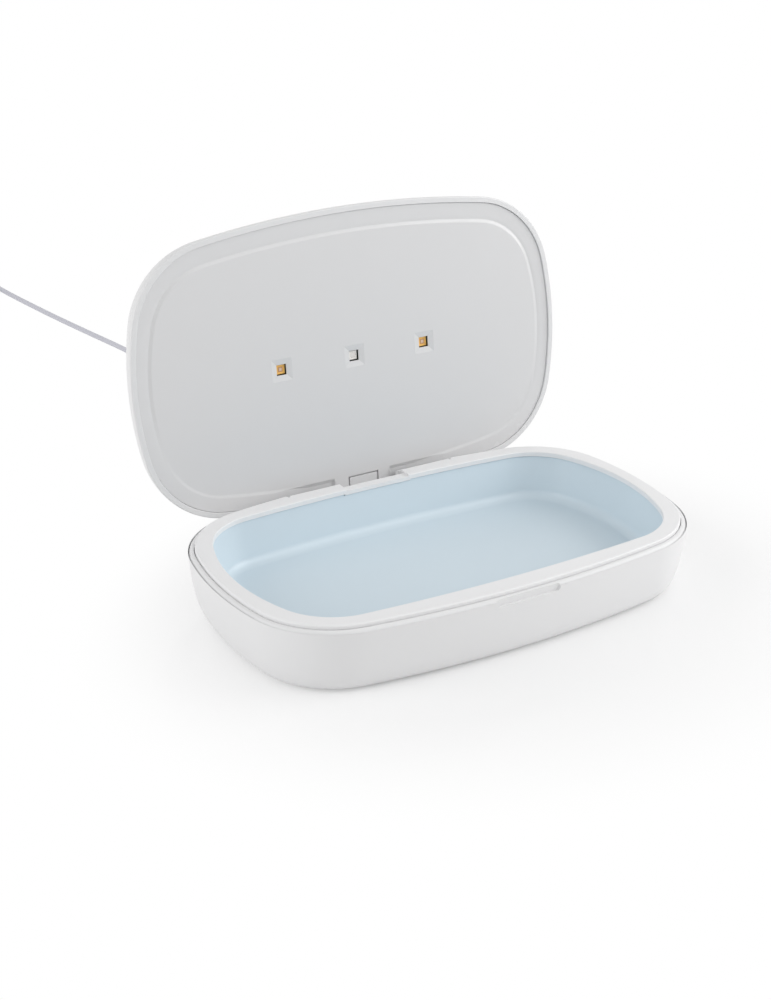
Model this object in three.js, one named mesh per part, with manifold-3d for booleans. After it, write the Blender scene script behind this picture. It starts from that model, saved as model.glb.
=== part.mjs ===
// Ultraviolet sanitizer box for phones: a hinged, rounded box with a moulded tray and lamps in its lid.
// Millimetres, +Z up. The origin is on the table under the middle of the base, the front faces -Y,
// the hinge is at +Y, and the lid stands open against its stop.
import * as THREE from 'three';
import { mergeVertices } from 'three/addons/utils/BufferGeometryUtils.js';
import Module from 'manifold-3d';

const wasm = await Module();
wasm.setup();

// Outline of the box seen from above: arcs along the sides, the ends and the corners
const boxLength = 218;
const boxWidth = 135;
const longSideRadius = 475;
const shortSideRadius = 149;
const cornerRadius = 41;

// Outline of the tray's opening, from its margins to the box
const openingEndMargin = 9.3;
const openingSideMargin = 12.6;
const openingLongRadius = 817;
const openingShortRadius = 93;
const openingCornerRadius = 29;

// Heights above the table, with the lid closed
const footHeight = 0.8;
const partingHeight = 30.1;
const lidGap = 1.2;
const lidHeight = 18.4;

// Clearances
const seatGap = 0.3;
const hingeGap = 0.4;
const pinClearance = 0.12;
const overrun = 2;

// Base shell
const wallThickness = 2.6;
const wallTaper = 9.6;
const wallBendPower = 1.293;
const wallTuckPower = 3.313;
const lastStepShare = 0.6;
const floorThickness = 2.4;
const floorRadius = 2.5;
const shoulderInset = 2.4;
const shoulderDrop = 3.2;
const fingerRecessLength = 31;
const fingerRecessHeight = 3.4;
const fingerRecessDepth = 1.5;
const fingerRecessRadius = 1.6;

// Bezel ring around the opening
const bezelRise = 1.8;
const bezelStripHeight = 2.3;
const bezelOuterRadius = 0.8;
const bezelInnerRadius = 0.5;
const bezelSkirtDepth = 1.2;
const bezelSkirtThickness = 1.5;
const earEndNotchWidth = 1.2;

// Tray
const traySetback = 0.6;
const trayWall = 1.6;
const trayFloorHeight = 9.4;
const trayTaper = 3.2;
const trayFloorRadius = 5;
const trayFlangeWidth = 2.4;
const trayPostRadius = 3;

// Hinge
const hingeInset = 5.15;
const hingeDrop = 4;
const openAngleDegrees = 96.7;
const notchLength = 33;
const tabDrop = 0.5;
const tabRise = 1.4;
const tabBite = 0.8;
const earLength = 27.5;
const earTopSetback = 0.8;
const barrelRadius = 2.4;
const knuckleRadius = 2.6;
const pinRadius = 1;
const pinLength = 17;
const armLength = 28.8;
const armFrontOffset = 1.3;
const armRearOffset = 1.8;
const armChamfer = 0.6;
const wireCoverLength = 15.6;
const wireCoverGroove = 0.7;
const wireCoverThickness = 0.9;
const wireCoverFrontSetback = 4.9;
const wireSlotLength = 10;
const wireSlotWidth = 1.6;

// Lid shell
const lidOverhang = 0.4;
const lipWidth = 2.6;
const lipChamfer = 0.8;
const lipEdgeRadius = 0.6;
const domeTaper = 16;
const domeInnerTaper = 14.5;
const domeBendPower = 1.82;
const domeTuckPower = 2.47;
const domeThickness = 1.8;

// Lid liner: a band inside the lip and a raised panel that carries the lamp windows
const panelRecess = 0.9;
const panelRise = 0.8;
const panelEndMargin = 9.8;
const panelFrontMargin = 11.9;
const panelRearMargin = 10.4;
const panelLongRadius = 480;
const panelShortRadius = 111.5;
const panelCornerRadius = 30.4;
const panelSlopeWidth = 2;
const panelSlopeShares = [[0, 0], [0.2, 0.06], [0.5, 0.5], [0.8, 0.94], [1, 1]];
const bandDish = 0.9;
const bandThickness = 1.4;
const pocketDepth = 1;
const pocketFrontSetback = 5.1;
const pocketRampLength = 16;
const pocketWall = 1.2;

// Lamps, their windows and their board
const lampSpacing = 37.1;
const lampRowSetback = 0.6;
const lampLength = 4.4;
const lampHeight = 1.1;
const lampDepth = 1.3;
const windowMouth = 10.2;
const windowThroat = 5.6;
const windowSlopeDepth = 0.7;
const windowLip = 0.5;
const windowWellLength = 7.6;
const windowBossLength = 10;
const boardThickness = 1.2;
const lampBoardWidth = 12;
const lampBoardEndMargin = 9;
const lampScrewSpacing = 37;
const lampBossRadius = 2.6;

// Power button on the lid
const buttonSetback = 30;
const buttonRadius = 7.5;
const buttonProud = 0.3;
const buttonTravel = 0.5;
const buttonFlangeWidth = 1.2;
const buttonFlangeThickness = 1.1;
const buttonStemRadius = 2;
const buttonStemLength = 1.3;
const ringWidth = 1.4;
const ringFlangeWidth = 1.3;
const ringFlangeThickness = 1.2;
const ringDrop = 0.1;
const switchLength = 6;
const switchHeight = 3;
const plungerRadius = 1.7;
const plungerHeight = 1.2;
const buttonBoardLength = 38;
const buttonBoardWidth = 14;
const buttonPostRadius = 2.6;

// Feet and screws
const footEndInset = 38;
const footSideInset = 26;
const footRadius = 7;
const footThickness = 1.6;
const screwHeadRadius = 2.2;
const screwHeadHeight = 1.2;
const screwShaftRadius = 1;
const screwBossRadius = 4;
const screwSeatThickness = 1.6;
const screwBite = 3.1;

// Main board, power socket and lid sensor
const mainBoardLength = 44;
const mainBoardWidth = 9.2;
const mainBoardHeight = 7.6;
const mainBoardInset = 6.5;
const boardPostSpacing = 34;
const boardPostRadius = 2.5;
const socketWidth = 9.2;
const socketHeight = 3.4;
const socketLength = 7.6;
const socketWall = 0.3;
const socketCornerRadius = 1.4;
const socketReach = 1.4;
const reedLength = 14;
const reedRadius = 1.2;
const reedEndInset = 29;
const magnetRadius = 3.6;
const magnetThickness = 2;
const wireRadius = 0.8;
const ribbonWidth = 6;
const ribbonThickness = 0.7;

// Power lead
const cordDiameter = 3;
const plugTongueWidth = 8.3;
const plugTongueHeight = 2.5;
const plugTongueDepth = 6;
const plugGripWidth = 11;
const plugGripHeight = 6.4;
const plugGripLength = 18;
const plugGripRadius = 2.6;
const reliefLength = 15;
const reliefRootRadius = 2.6;
const reliefTipRadius = 1.9;
const reliefRibs = 4;
const ribShare = 0.6;
const grooveStartShare = 0.7;
const grooveEndShare = 0.9;
const usbGripWidth = 15.6;
const usbGripHeight = 8.6;
const usbGripLength = 21;
const usbShellWidth = 12;
const usbShellHeight = 4.5;
const usbShellLength = 12;
const usbShellWall = 0.4;
const runLift = 0.1;
const runPlaces = [
  [0, 0, 1],
  [0, 5.2, 0.995],
  [0.1, 14.2, 0.9],
  [0.3, 22.2, 0.7],
  [0.6, 30.2, 0.42],
  [1, 38.2, 0.19],
  [1.5, 46.2, 0.04],
  [2.2, 56.2, 0],
  [4.3, 80.2, 0],
  [6.6, 110.2, 0],
  [8.2, 145.2, 0],
  [7.9, 180.2, 0],
  [5.6, 218.2, 0],
  [1, 260.2, 0],
  [-5.6, 296.2, 0],
  [-12.5, 334.2, 0],
  [-18.6, 372.2, 0],
  [-23.2, 404.2, 0.01],
  [-25.3, 422.2, 0.05],
  [-26, 436.2, 0.1],
  [-26.1, 441.4, 0.11],
];
const coilCentreX = -45.6;
const coilDistance = 444.8;
const coilRadius = 16;
const coilPitch = 3.5;
const coilTurns = 4.5;
const coilStepsPerTurn = 24;
const coilSides = 6;
const tieThickness = 0.8;
const tieWidth = 4;
const tieTurnShare = 0.75;
const tailLength = 15;
const tailShares = [0.3, 0.6, 1];
const climbHalfTurn = 0.25;

// Facets
const shortSteps = 3;
const cornerSteps = 8;
const longSteps = 4;
const roundSteps = 24;
const smallRoundSteps = 14;
const reliefSteps = 12;
const cordSides = 8;

// Places worked out from the sizes above
const hingeY = boxWidth / 2 - hingeInset;
const hingeZ = partingHeight - hingeDrop;
const openAngle = THREE.MathUtils.degToRad(openAngleDegrees);
const floorTop = footHeight + floorThickness;
const bezelTop = partingHeight + bezelRise;
const stripBottom = bezelTop - bezelStripHeight;
const trayTop = stripBottom - seatGap;
const trayFlangeBottom = trayTop - trayWall;
const trayBottom = trayFloorHeight - trayWall;
const closedHeight = partingHeight + lidGap + lidHeight;
const notchEnd = notchLength / 2;
const earEnd = notchEnd + earLength;
const armEnd = armLength / 2;
const earRearY = hingeY - earTopSetback;
const armFrontY = hingeY - armFrontOffset;
const armRearY = hingeY + armRearOffset;
const lipBottom = partingHeight + lidGap;
const panelZ = lipBottom + panelRecess;
const bandZ = panelZ + panelRise;
const linerTop = bandZ + bandThickness;
const domeInnerStart = linerTop + seatGap;
const domeCeiling = closedHeight - domeThickness;
const lampFaceZ = panelZ + windowSlopeDepth + lampDepth;
const lampBoardZ = lampFaceZ + lampHeight + seatGap;
const windowBossTop = lampBoardZ - seatGap;
const panelTop = panelZ + bandThickness;
const linerInset = lipWidth + seatGap;
const openingHalfLength = boxLength / 2 - openingEndMargin;
const openingHalfWidth = boxWidth / 2 - openingSideMargin;

// Materials, as photographed
function paint(color, roughness, metalness = 0) {
  return new THREE.MeshStandardMaterial({ color, roughness, metalness });
}
const whitePlastic = paint(0xeef0f1, 0.32);
const linerPlastic = paint(0xdcdcde, 0.28);
const trayPlastic = paint(0xc6d4dc, 0.35);
const boardGreen = paint(0x2f6b4a, 0.5);
const boardBlack = paint(0x1c1c1d, 0.5);
const steel = paint(0xb9bcc0, 0.28, 1);
const blackPlastic = paint(0x26272a, 0.5);
const greyRubber = paint(0x8b8e92, 0.85);
const amberLamp = paint(0xe3a04c, 0.35);
const paleLamp = paint(0xdfe1e6, 0.3);
const lightGuide = paint(0xdfe9f2, 0.2);
const cableJacket = paint(0xd6d7dd, 0.5);
const glassTube = paint(0xa9c4b4, 0.1);
const wireJacket = paint(0xc9cacc, 0.55);

const root = new THREE.Group();
const lid = new THREE.Group();
lid.position.set(0, hingeY, hingeZ);
lid.rotation.x = -openAngle;
const closedLid = new THREE.Group();
closedLid.position.set(0, -hingeY, -hingeZ);
lid.add(closedLid);
root.add(lid);

function place(group, name, geometry, material) {
  const mesh = new THREE.Mesh(geometry, material);
  mesh.name = name;
  group.add(mesh);
}

// Solids: joining and cutting closed meshes
function solidFrom(geometry) {
  const plain = new THREE.BufferGeometry();
  const source = geometry.index ? geometry.toNonIndexed() : geometry;
  plain.setAttribute('position', source.getAttribute('position').clone());
  const merged = mergeVertices(plain, 1e-4);
  return new wasm.Manifold(
    new wasm.Mesh({
      numProp: 3,
      vertProperties: merged.attributes.position.array,
      triVerts: new Uint32Array(merged.index.array),
    }),
  );
}

function geometryFrom(solid) {
  const mesh = solid.getMesh();
  const geometry = new THREE.BufferGeometry();
  geometry.setAttribute('position', new THREE.BufferAttribute(mesh.vertProperties, 3));
  geometry.setIndex(new THREE.BufferAttribute(mesh.triVerts, 1));
  return geometry;
}

function join(geometry, others) {
  return geometryFrom(others.reduce((solid, other) => solid.add(solidFrom(other)), solidFrom(geometry)));
}

function cut(geometry, tools) {
  return geometryFrom(tools.reduce((solid, tool) => solid.subtract(solidFrom(tool)), solidFrom(geometry)));
}

function common(geometry, other) {
  return geometryFrom(solidFrom(geometry).intersect(solidFrom(other)));
}

// A box between two corners
function block(x0, x1, y0, y1, z0, z1) {
  const geometry = new THREE.BoxGeometry(x1 - x0, y1 - y0, z1 - z0);
  return geometry.translate((x0 + x1) / 2, (y0 + y1) / 2, (z0 + z1) / 2);
}

// A round post, disc or hole along Z
function disc(x, y, z0, z1, radius, steps = smallRoundSteps) {
  const geometry = new THREE.CylinderGeometry(radius, radius, z1 - z0, steps);
  return geometry.rotateX(Math.PI / 2).translate(x, y, (z0 + z1) / 2);
}

// A round rod or bore along X
function rod(x0, x1, y, z, radius, steps = roundSteps) {
  const geometry = new THREE.CylinderGeometry(radius, radius, x1 - x0, steps);
  return geometry.rotateZ(Math.PI / 2).translate((x0 + x1) / 2, y, z);
}

// A flat outline in Y and Z, drawn out along X
function alongX(shape, x0, x1) {
  const geometry = new THREE.ExtrudeGeometry(shape, { depth: x1 - x0, bevelEnabled: false });
  const turn = new THREE.Matrix4().makeBasis(
    new THREE.Vector3(0, 1, 0),
    new THREE.Vector3(0, 0, 1),
    new THREE.Vector3(1, 0, 0),
  );
  return geometry.applyMatrix4(turn).translate(x0, 0, 0);
}

// A flat outline in X and Z, drawn out along Y
function alongY(shape, y0, y1) {
  const options = { depth: y1 - y0, bevelEnabled: false, curveSegments: 4 };
  const geometry = new THREE.ExtrudeGeometry(shape, options);
  return geometry.rotateX(Math.PI / 2).translate(0, y1, 0);
}

function polygon(points) {
  return new THREE.Shape(points.map(([across, up]) => new THREE.Vector2(across, up)));
}

// A rectangle with round corners, centred on a point
function roundedRectangle(centreX, centreY, width, height, radius) {
  const left = centreX - width / 2;
  const low = centreY - height / 2;
  const shape = new THREE.Shape();
  shape.moveTo(left + radius, low);
  shape.lineTo(left + width - radius, low);
  shape.absarc(left + width - radius, low + radius, radius, -Math.PI / 2, 0);
  shape.absarc(left + width - radius, low + height - radius, radius, 0, Math.PI / 2);
  shape.absarc(left + radius, low + height - radius, radius, Math.PI / 2, Math.PI);
  shape.absarc(left + radius, low + radius, radius, Math.PI, Math.PI * 1.5);
  return shape;
}

// The closed outline of eight arcs: two long sides, two ends and four corners that meet smoothly
function arcOutline(halfLength, halfWidth, longRadius, shortRadius, cornerArcRadius) {
  const longCentre = new THREE.Vector2(0, halfWidth - longRadius);
  const shortCentre = new THREE.Vector2(halfLength - shortRadius, 0);
  const span = longCentre.distanceTo(shortCentre);
  const longReach = longRadius - cornerArcRadius;
  const shortReach = shortRadius - cornerArcRadius;
  const along = (longReach ** 2 - shortReach ** 2 + span ** 2) / (2 * span);
  const aside = Math.sqrt(longReach ** 2 - along ** 2);
  const toward = shortCentre.clone().sub(longCentre).divideScalar(span);
  const cornerCentre = new THREE.Vector2(
    longCentre.x + toward.x * along + toward.y * aside,
    longCentre.y + toward.y * along - toward.x * aside,
  );
  const shortEnd = Math.atan2(cornerCentre.y - shortCentre.y, cornerCentre.x - shortCentre.x);
  const longEnd = Math.atan2(cornerCentre.y - longCentre.y, cornerCentre.x - longCentre.x);
  const quarter = [];
  const sweep = (centre, radius, from, to, steps) => {
    for (let i = 0; i < steps; i++) {
      const angle = from + ((to - from) * i) / steps;
      quarter.push([centre.x + radius * Math.cos(angle), centre.y + radius * Math.sin(angle)]);
    }
  };
  sweep(shortCentre, shortRadius, 0, shortEnd, shortSteps);
  sweep(cornerCentre, cornerArcRadius, shortEnd, longEnd, cornerSteps);
  sweep(longCentre, longRadius, longEnd, Math.PI / 2, longSteps);
  const top = [0, halfWidth];
  const mirrored = quarter.slice().reverse();
  const half = [...quarter, top, ...mirrored.map(([x, y]) => [-x, y])];
  const back = half.slice(1, -1).map(([x, y]) => [-x, -y]);
  return [...half, ...back];
}

function boxOutline(inset) {
  return arcOutline(
    boxLength / 2 - inset,
    boxWidth / 2 - inset,
    longSideRadius - inset,
    shortSideRadius - inset,
    cornerRadius - inset,
  );
}

function openingOutline(inset) {
  return arcOutline(
    openingHalfLength - inset,
    openingHalfWidth - inset,
    openingLongRadius - inset,
    openingShortRadius - inset,
    openingCornerRadius - inset,
  );
}

function lidOutline(inset) {
  return boxOutline(inset - lidOverhang);
}

function panelOutline(inset) {
  const outline = arcOutline(
    boxLength / 2 - panelEndMargin - inset,
    (boxWidth - panelFrontMargin - panelRearMargin) / 2 - inset,
    panelLongRadius - inset,
    panelShortRadius - inset,
    panelCornerRadius - inset,
  );
  return outline.map(([x, y]) => [x, y + (panelFrontMargin - panelRearMargin) / 2]);
}

// A skin through a pile of outlines, capped at both ends or closed into a ring
function loft(sections, ring = false) {
  const positions = [];
  const rows = sections.map(([outline, z]) => outline.map(([x, y]) => [x, y, z]));
  const count = rows[0].length;
  const last = ring ? rows.length : rows.length - 1;
  for (let i = 0; i < last; i++) {
    const low = rows[i];
    const high = rows[(i + 1) % rows.length];
    for (let j = 0; j < count; j++) {
      const k = (j + 1) % count;
      positions.push(...low[j], ...low[k], ...high[k], ...low[j], ...high[k], ...high[j]);
    }
  }
  const cap = (row, flip) => {
    for (let j = 0; j < count; j++) {
      const k = (j + 1) % count;
      const centre = [0, 0, row[0][2]];
      positions.push(...centre, ...(flip ? row[k] : row[j]), ...(flip ? row[j] : row[k]));
    }
  };
  if (!ring) {
    cap(rows[0], true);
    cap(rows[rows.length - 1], false);
  }
  const geometry = new THREE.BufferGeometry();
  return geometry.setAttribute('position', new THREE.Float32BufferAttribute(positions, 3));
}

// How far a wall has drawn in at a turn from its widest (0) to its flat end (90 degrees)
function bentWall(turn, taper, bendPower, tuckPower) {
  return {
    share: Math.sin(turn) ** (2 / bendPower),
    inset: taper * (1 - Math.cos(turn) ** (2 / tuckPower)),
  };
}

// Outer inset of the base at a height
function baseInset(z) {
  const share = Math.min((partingHeight - z) / (partingHeight - footHeight), 1);
  return wallTaper * (1 - (1 - share ** wallBendPower) ** (1 / wallTuckPower));
}

const footX = boxLength / 2 - footEndInset;
const footY = boxWidth / 2 - footSideInset;
const footPlaces = [[-footX, -footY], [-footX, footY], [footX, -footY], [footX, footY]];
const cornerNames = ['front_left', 'rear_left', 'front_right', 'rear_right'];

// Base shell: a tapering bowl with a rounded shoulder, a hinge notch, a socket hole and a finger recess
const footRecessTop = footThickness + seatGap;
const screwSeatZ = footRecessTop + screwHeadHeight + 2 * seatGap;
const screwBossTop = screwSeatZ + screwSeatThickness;
const socketZ = mainBoardHeight + boardThickness + seatGap + socketHeight / 2;
const notchFloorZ = hingeZ - knuckleRadius - 3 * seatGap;
const boardPostY = boxWidth / 2 - mainBoardInset - mainBoardWidth / 2;
const boardPostPlaces = [-boardPostSpacing / 2, boardPostSpacing / 2];

function baseShell() {
  const outer = [];
  const steps = 7;
  for (let i = 0; i < steps; i++) {
    const turn = (Math.PI / 2) * (1 - i / (steps + lastStepShare));
    const { share, inset } = bentWall(turn, wallTaper, wallBendPower, wallTuckPower);
    outer.push([boxOutline(inset), partingHeight - share * (partingHeight - footHeight)]);
  }
  const shoulderStart = baseInset(partingHeight - shoulderDrop);
  const shoulderSteps = 3;
  for (let i = 0; i <= shoulderSteps; i++) {
    const turn = (Math.PI / 2) * (i / shoulderSteps);
    const inset = shoulderStart + (shoulderInset - shoulderStart) * (1 - Math.cos(turn));
    outer.push([boxOutline(inset), partingHeight - shoulderDrop * (1 - Math.sin(turn))]);
  }
  const inner = [];
  const innerSteps = 4;
  for (let i = 0; i <= innerSteps; i++) {
    const z = partingHeight - ((partingHeight - floorTop - floorRadius) * i) / innerSteps;
    inner.push([boxOutline(baseInset(z) + wallThickness), z]);
  }
  inner.push([boxOutline(baseInset(floorTop) + wallThickness + floorRadius), floorTop]);
  const bossStart = floorTop - floorThickness / 2;
  const bosses = footPlaces.map(([x, y]) => disc(x, y, bossStart, screwBossTop, screwBossRadius));
  const boardPosts = boardPostPlaces.map((x) =>
    disc(x, boardPostY, bossStart, mainBoardHeight - seatGap, boardPostRadius),
  );
  const shell = join(loft([...outer, ...inner]), [...bosses, ...boardPosts]);
  const tools = [];
  for (const [x, y] of footPlaces) {
    tools.push(disc(x, y, -overrun, footRecessTop, footRadius + seatGap));
    tools.push(disc(x, y, 0, screwSeatZ, screwHeadRadius + seatGap));
    tools.push(disc(x, y, 0, screwBossTop + overrun, screwShaftRadius + seatGap));
  }
  for (const x of boardPostPlaces) {
    tools.push(disc(x, boardPostY, floorTop, mainBoardHeight + overrun, screwShaftRadius + pinClearance));
  }
  const rear = boxWidth / 2;
  const recessTop = partingHeight + overrun;
  tools.push(block(-notchEnd, notchEnd, armFrontY - hingeInset, rear + overrun, notchFloorZ, recessTop));
  for (const side of [-1, 1]) {
    const near = side * (notchEnd - overrun);
    const far = side * (earEnd + hingeGap);
    const reliefX = [Math.min(near, far), Math.max(near, far)];
    const reliefY = hingeY + barrelRadius + seatGap;
    tools.push(block(...reliefX, hingeY - hingeInset, reliefY, notchFloorZ, recessTop));
  }
  const holeWidth = socketWidth + 2 * seatGap;
  const holeHeight = socketHeight + 2 * seatGap;
  const holeShape = roundedRectangle(0, socketZ, holeWidth, holeHeight, socketCornerRadius + seatGap);
  tools.push(alongY(holeShape, boardPostY, rear + overrun));
  const recessBottom = partingHeight - fingerRecessHeight;
  const recessShape = roundedRectangle(
    0,
    (recessTop + recessBottom) / 2,
    fingerRecessLength,
    recessTop - recessBottom,
    fingerRecessRadius,
  );
  tools.push(alongY(recessShape, -rear - overrun, -rear + fingerRecessDepth));
  return cut(shell, tools);
}
place(root, 'base_shell', baseShell(), whitePlastic);

// Bezel: a ring over the tray's edge, open at the hinge notch, with two ears that hold the pins
function bezel() {
  const side = wallThickness + seatGap;
  const skirtBottom = stripBottom - bezelSkirtDepth;
  const outerBend = bezelOuterRadius * (1 - Math.SQRT1_2);
  const innerBend = bezelInnerRadius * (1 - Math.SQRT1_2);
  const ring = loft(
    [
      [boxOutline(side), skirtBottom],
      [boxOutline(side), bezelTop - bezelOuterRadius],
      [boxOutline(side + outerBend), bezelTop - outerBend],
      [boxOutline(side + bezelOuterRadius), bezelTop],
      [openingOutline(-bezelInnerRadius), bezelTop],
      [openingOutline(-innerBend), bezelTop - innerBend],
      [openingOutline(0), bezelTop - bezelInnerRadius],
      [openingOutline(0), stripBottom],
      [boxOutline(side + bezelSkirtThickness), stripBottom],
      [boxOutline(side + bezelSkirtThickness), skirtBottom],
    ],
    true,
  );
  const rear = boxWidth / 2;
  const flatRear = cut(ring, [
    block(-earEnd, earEnd, earRearY, rear, skirtBottom - overrun, bezelTop + overrun),
  ]);
  const earProfile = [];
  const halfRound = roundSteps / 2;
  for (let i = 0; i <= halfRound; i++) {
    const angle = Math.PI + (Math.PI * i) / halfRound;
    earProfile.push([hingeY + barrelRadius * Math.cos(angle), hingeZ + barrelRadius * Math.sin(angle)]);
  }
  earProfile.push([hingeY + barrelRadius, skirtBottom - seatGap]);
  earProfile.push([earRearY - seatGap, skirtBottom - seatGap]);
  earProfile.push([earRearY - seatGap, (stripBottom + bezelTop) / 2]);
  earProfile.push([hingeY - barrelRadius, (stripBottom + bezelTop) / 2]);
  const ears = [-1, 1].map((side) => {
    const near = side * (notchEnd - overrun);
    const far = side * (earEnd - seatGap);
    return alongX(polygon(earProfile), Math.min(near, far), Math.max(near, far));
  });
  const notched = cut(join(flatRear, ears), [block(-notchEnd, notchEnd, 0, rear, 0, bezelTop + overrun)]);
  const tabRing = loft(
    [
      [boxOutline(bezelSkirtThickness), stripBottom - tabDrop],
      [boxOutline(bezelSkirtThickness), stripBottom + tabRise],
      [openingOutline(0), stripBottom + tabRise],
      [openingOutline(0), stripBottom - tabDrop],
    ],
    true,
  );
  const tabEnd = notchEnd + tabBite;
  const tabRearY = Math.min(armFrontY, hingeY - knuckleRadius) - seatGap;
  const tab = common(tabRing, block(-tabEnd, tabEnd, 0, tabRearY, 0, closedHeight));
  const tools = [];
  for (const side of [-1, 1]) {
    const near = side * (notchEnd - overrun);
    const far = side * (notchEnd + pinLength / 2 + seatGap);
    tools.push(rod(Math.min(near, far), Math.max(near, far), hingeY, hingeZ, pinRadius + pinClearance));
    const endX = side * (earEnd - earEndNotchWidth);
    const notchX = [endX - earEndNotchWidth / 2, endX + earEndNotchWidth / 2];
    const notchY = [earRearY - earEndNotchWidth, earRearY + overrun];
    tools.push(block(...notchX, ...notchY, stripBottom + seatGap, bezelTop + overrun));
  }
  return cut(join(notched, [tab]), tools);
}
place(root, 'base_bezel', bezel(), whitePlastic);

// Tray: the bowl that holds the phone, with a flange under the bezel and a tab across the hinge notch
function tray() {
  const wallFoot = trayTaper - traySetback;
  const outerRadius = trayFloorRadius + trayWall;
  const filletZ = trayFloorHeight + trayFloorRadius;
  const filletInset = wallFoot + trayFloorRadius;
  const filletSteps = 3;
  const sections = [];
  const bendSection = (turn, radius) => {
    const outline = openingOutline(filletInset - radius * Math.cos(turn));
    return [outline, filletZ - radius * Math.sin(turn)];
  };
  for (let i = 0; i <= filletSteps; i++) {
    sections.push(bendSection((Math.PI / 2) * (1 - i / filletSteps), outerRadius));
  }
  sections.push([openingOutline(-traySetback - trayWall), trayFlangeBottom]);
  sections.push([openingOutline(-traySetback - trayFlangeWidth), trayFlangeBottom]);
  sections.push([openingOutline(-traySetback - trayFlangeWidth), trayTop]);
  sections.push([openingOutline(-traySetback), trayTop]);
  for (let i = 0; i <= filletSteps; i++) {
    sections.push(bendSection((Math.PI / 2) * (i / filletSteps), trayFloorRadius));
  }
  const tabSeatEnd = notchEnd + tabBite + seatGap;
  const tabSeatZ = stripBottom - tabDrop - seatGap;
  const postTop = trayBottom + trayWall / 2;
  const posts = footPlaces.map(([x, y]) => disc(x, y, screwBossTop + seatGap, postTop, trayPostRadius));
  const holes = footPlaces.map(([x, y]) =>
    disc(x, y, 0, screwSeatZ + screwSeatThickness + screwBite + seatGap, screwShaftRadius + pinClearance),
  );
  const tabSeat = block(-tabSeatEnd, tabSeatEnd, trayPostRadius, boxWidth / 2, tabSeatZ, trayTop + overrun);
  return cut(join(loft(sections), posts), [tabSeat, ...holes]);
}
place(root, 'tray', tray(), trayPlastic);

// Rubber feet, and the screws that they cover
footPlaces.forEach(([x, y], index) => {
  place(root, `foot_${cornerNames[index]}`, disc(x, y, 0, footThickness, footRadius), greyRubber);
  const headZ = screwSeatZ - seatGap;
  const screw = join(disc(x, y, headZ - screwHeadHeight, headZ, screwHeadRadius), [
    disc(x, y, headZ - screwHeadHeight / 2, screwBossTop + screwBite, screwShaftRadius),
  ]);
  place(root, `base_screw_${cornerNames[index]}`, screw, steel);
});

// Hinge pins, one at each end of the lid's knuckle
[['left', -1], ['right', 1]].forEach(([word, side]) => {
  const near = side * notchEnd - pinLength / 2;
  const far = side * notchEnd + pinLength / 2;
  place(root, `hinge_pin_${word}`, rod(near, far, hingeY, hingeZ, pinRadius), steel);
});

// Main board with the power socket, behind the tray
const mainBoardRear = boxWidth / 2 - mainBoardInset;
const mainBoardTop = mainBoardHeight + boardThickness;
const wallAtSocket = boxWidth / 2 - baseInset(socketZ) - wallThickness;
const socketRear = wallAtSocket + socketReach;
const mainBoardHoles = boardPostPlaces.map((x) =>
  disc(x, boardPostY, mainBoardHeight - overrun, mainBoardTop + overrun, screwShaftRadius + seatGap),
);
const mainBoardHalf = mainBoardLength / 2;
const mainBoardFront = mainBoardRear - mainBoardWidth;
const mainBoardSides = [-mainBoardHalf, mainBoardHalf, mainBoardFront, mainBoardRear];
const mainBoard = block(...mainBoardSides, mainBoardHeight, mainBoardTop);
place(root, 'main_board', cut(mainBoard, mainBoardHoles), boardGreen);
[['left', boardPostPlaces[0]], ['right', boardPostPlaces[1]]].forEach(([word, x]) => {
  const headZ = mainBoardTop + seatGap;
  const screw = join(disc(x, boardPostY, headZ, headZ + screwHeadHeight, screwHeadRadius), [
    disc(x, boardPostY, floorTop + 2 * seatGap, headZ + screwHeadHeight / 2, screwShaftRadius),
  ]);
  place(root, `main_board_screw_${word}`, screw, steel);
});

function socket() {
  const outer = roundedRectangle(0, socketZ, socketWidth, socketHeight, socketCornerRadius);
  const innerWidth = socketWidth - 2 * socketWall;
  const innerHeight = socketHeight - 2 * socketWall;
  const inner = roundedRectangle(0, socketZ, innerWidth, innerHeight, socketCornerRadius - socketWall);
  const bore = alongY(inner, socketRear - plugTongueDepth - seatGap, socketRear + overrun);
  return cut(alongY(outer, socketRear - socketLength, socketRear), [bore]);
}
place(root, 'usb_socket', socket(), steel);

// Reed switch under the tray's flange, its lead, and the leads that go up to the hinge
function lead(points, sides, radius, steps) {
  const places = points.map((point) => new THREE.Vector3(...point));
  const route = new THREE.CatmullRomCurve3(places, false, 'centripetal');
  const ring = [];
  for (let i = 0; i < sides; i++) {
    const angle = (2 * Math.PI * i) / sides;
    ring.push([radius * Math.cos(angle), radius * Math.sin(angle)]);
  }
  return new THREE.ExtrudeGeometry(polygon(ring), { steps, bevelEnabled: false, extrudePath: route });
}
const reedOffset = (earEnd + boxLength / 2 - reedEndInset) / 2;
const reedDrop = (reedOffset ** 2) / (2 * openingLongRadius);
const reedY = openingHalfWidth + traySetback + trayWall + reedRadius + seatGap - reedDrop;
const reedZ = trayFlangeBottom - seatGap - reedRadius;
place(
  root,
  'reed_switch',
  rod(reedOffset - reedLength / 2, reedOffset + reedLength / 2, reedY, reedZ, reedRadius, smallRoundSteps),
  glassTube,
);
const boardWireZ = mainBoardTop + seatGap + wireRadius;
const boardWireY = boardPostY;
const reedWireStart = reedOffset - reedLength / 2 - seatGap;
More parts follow.
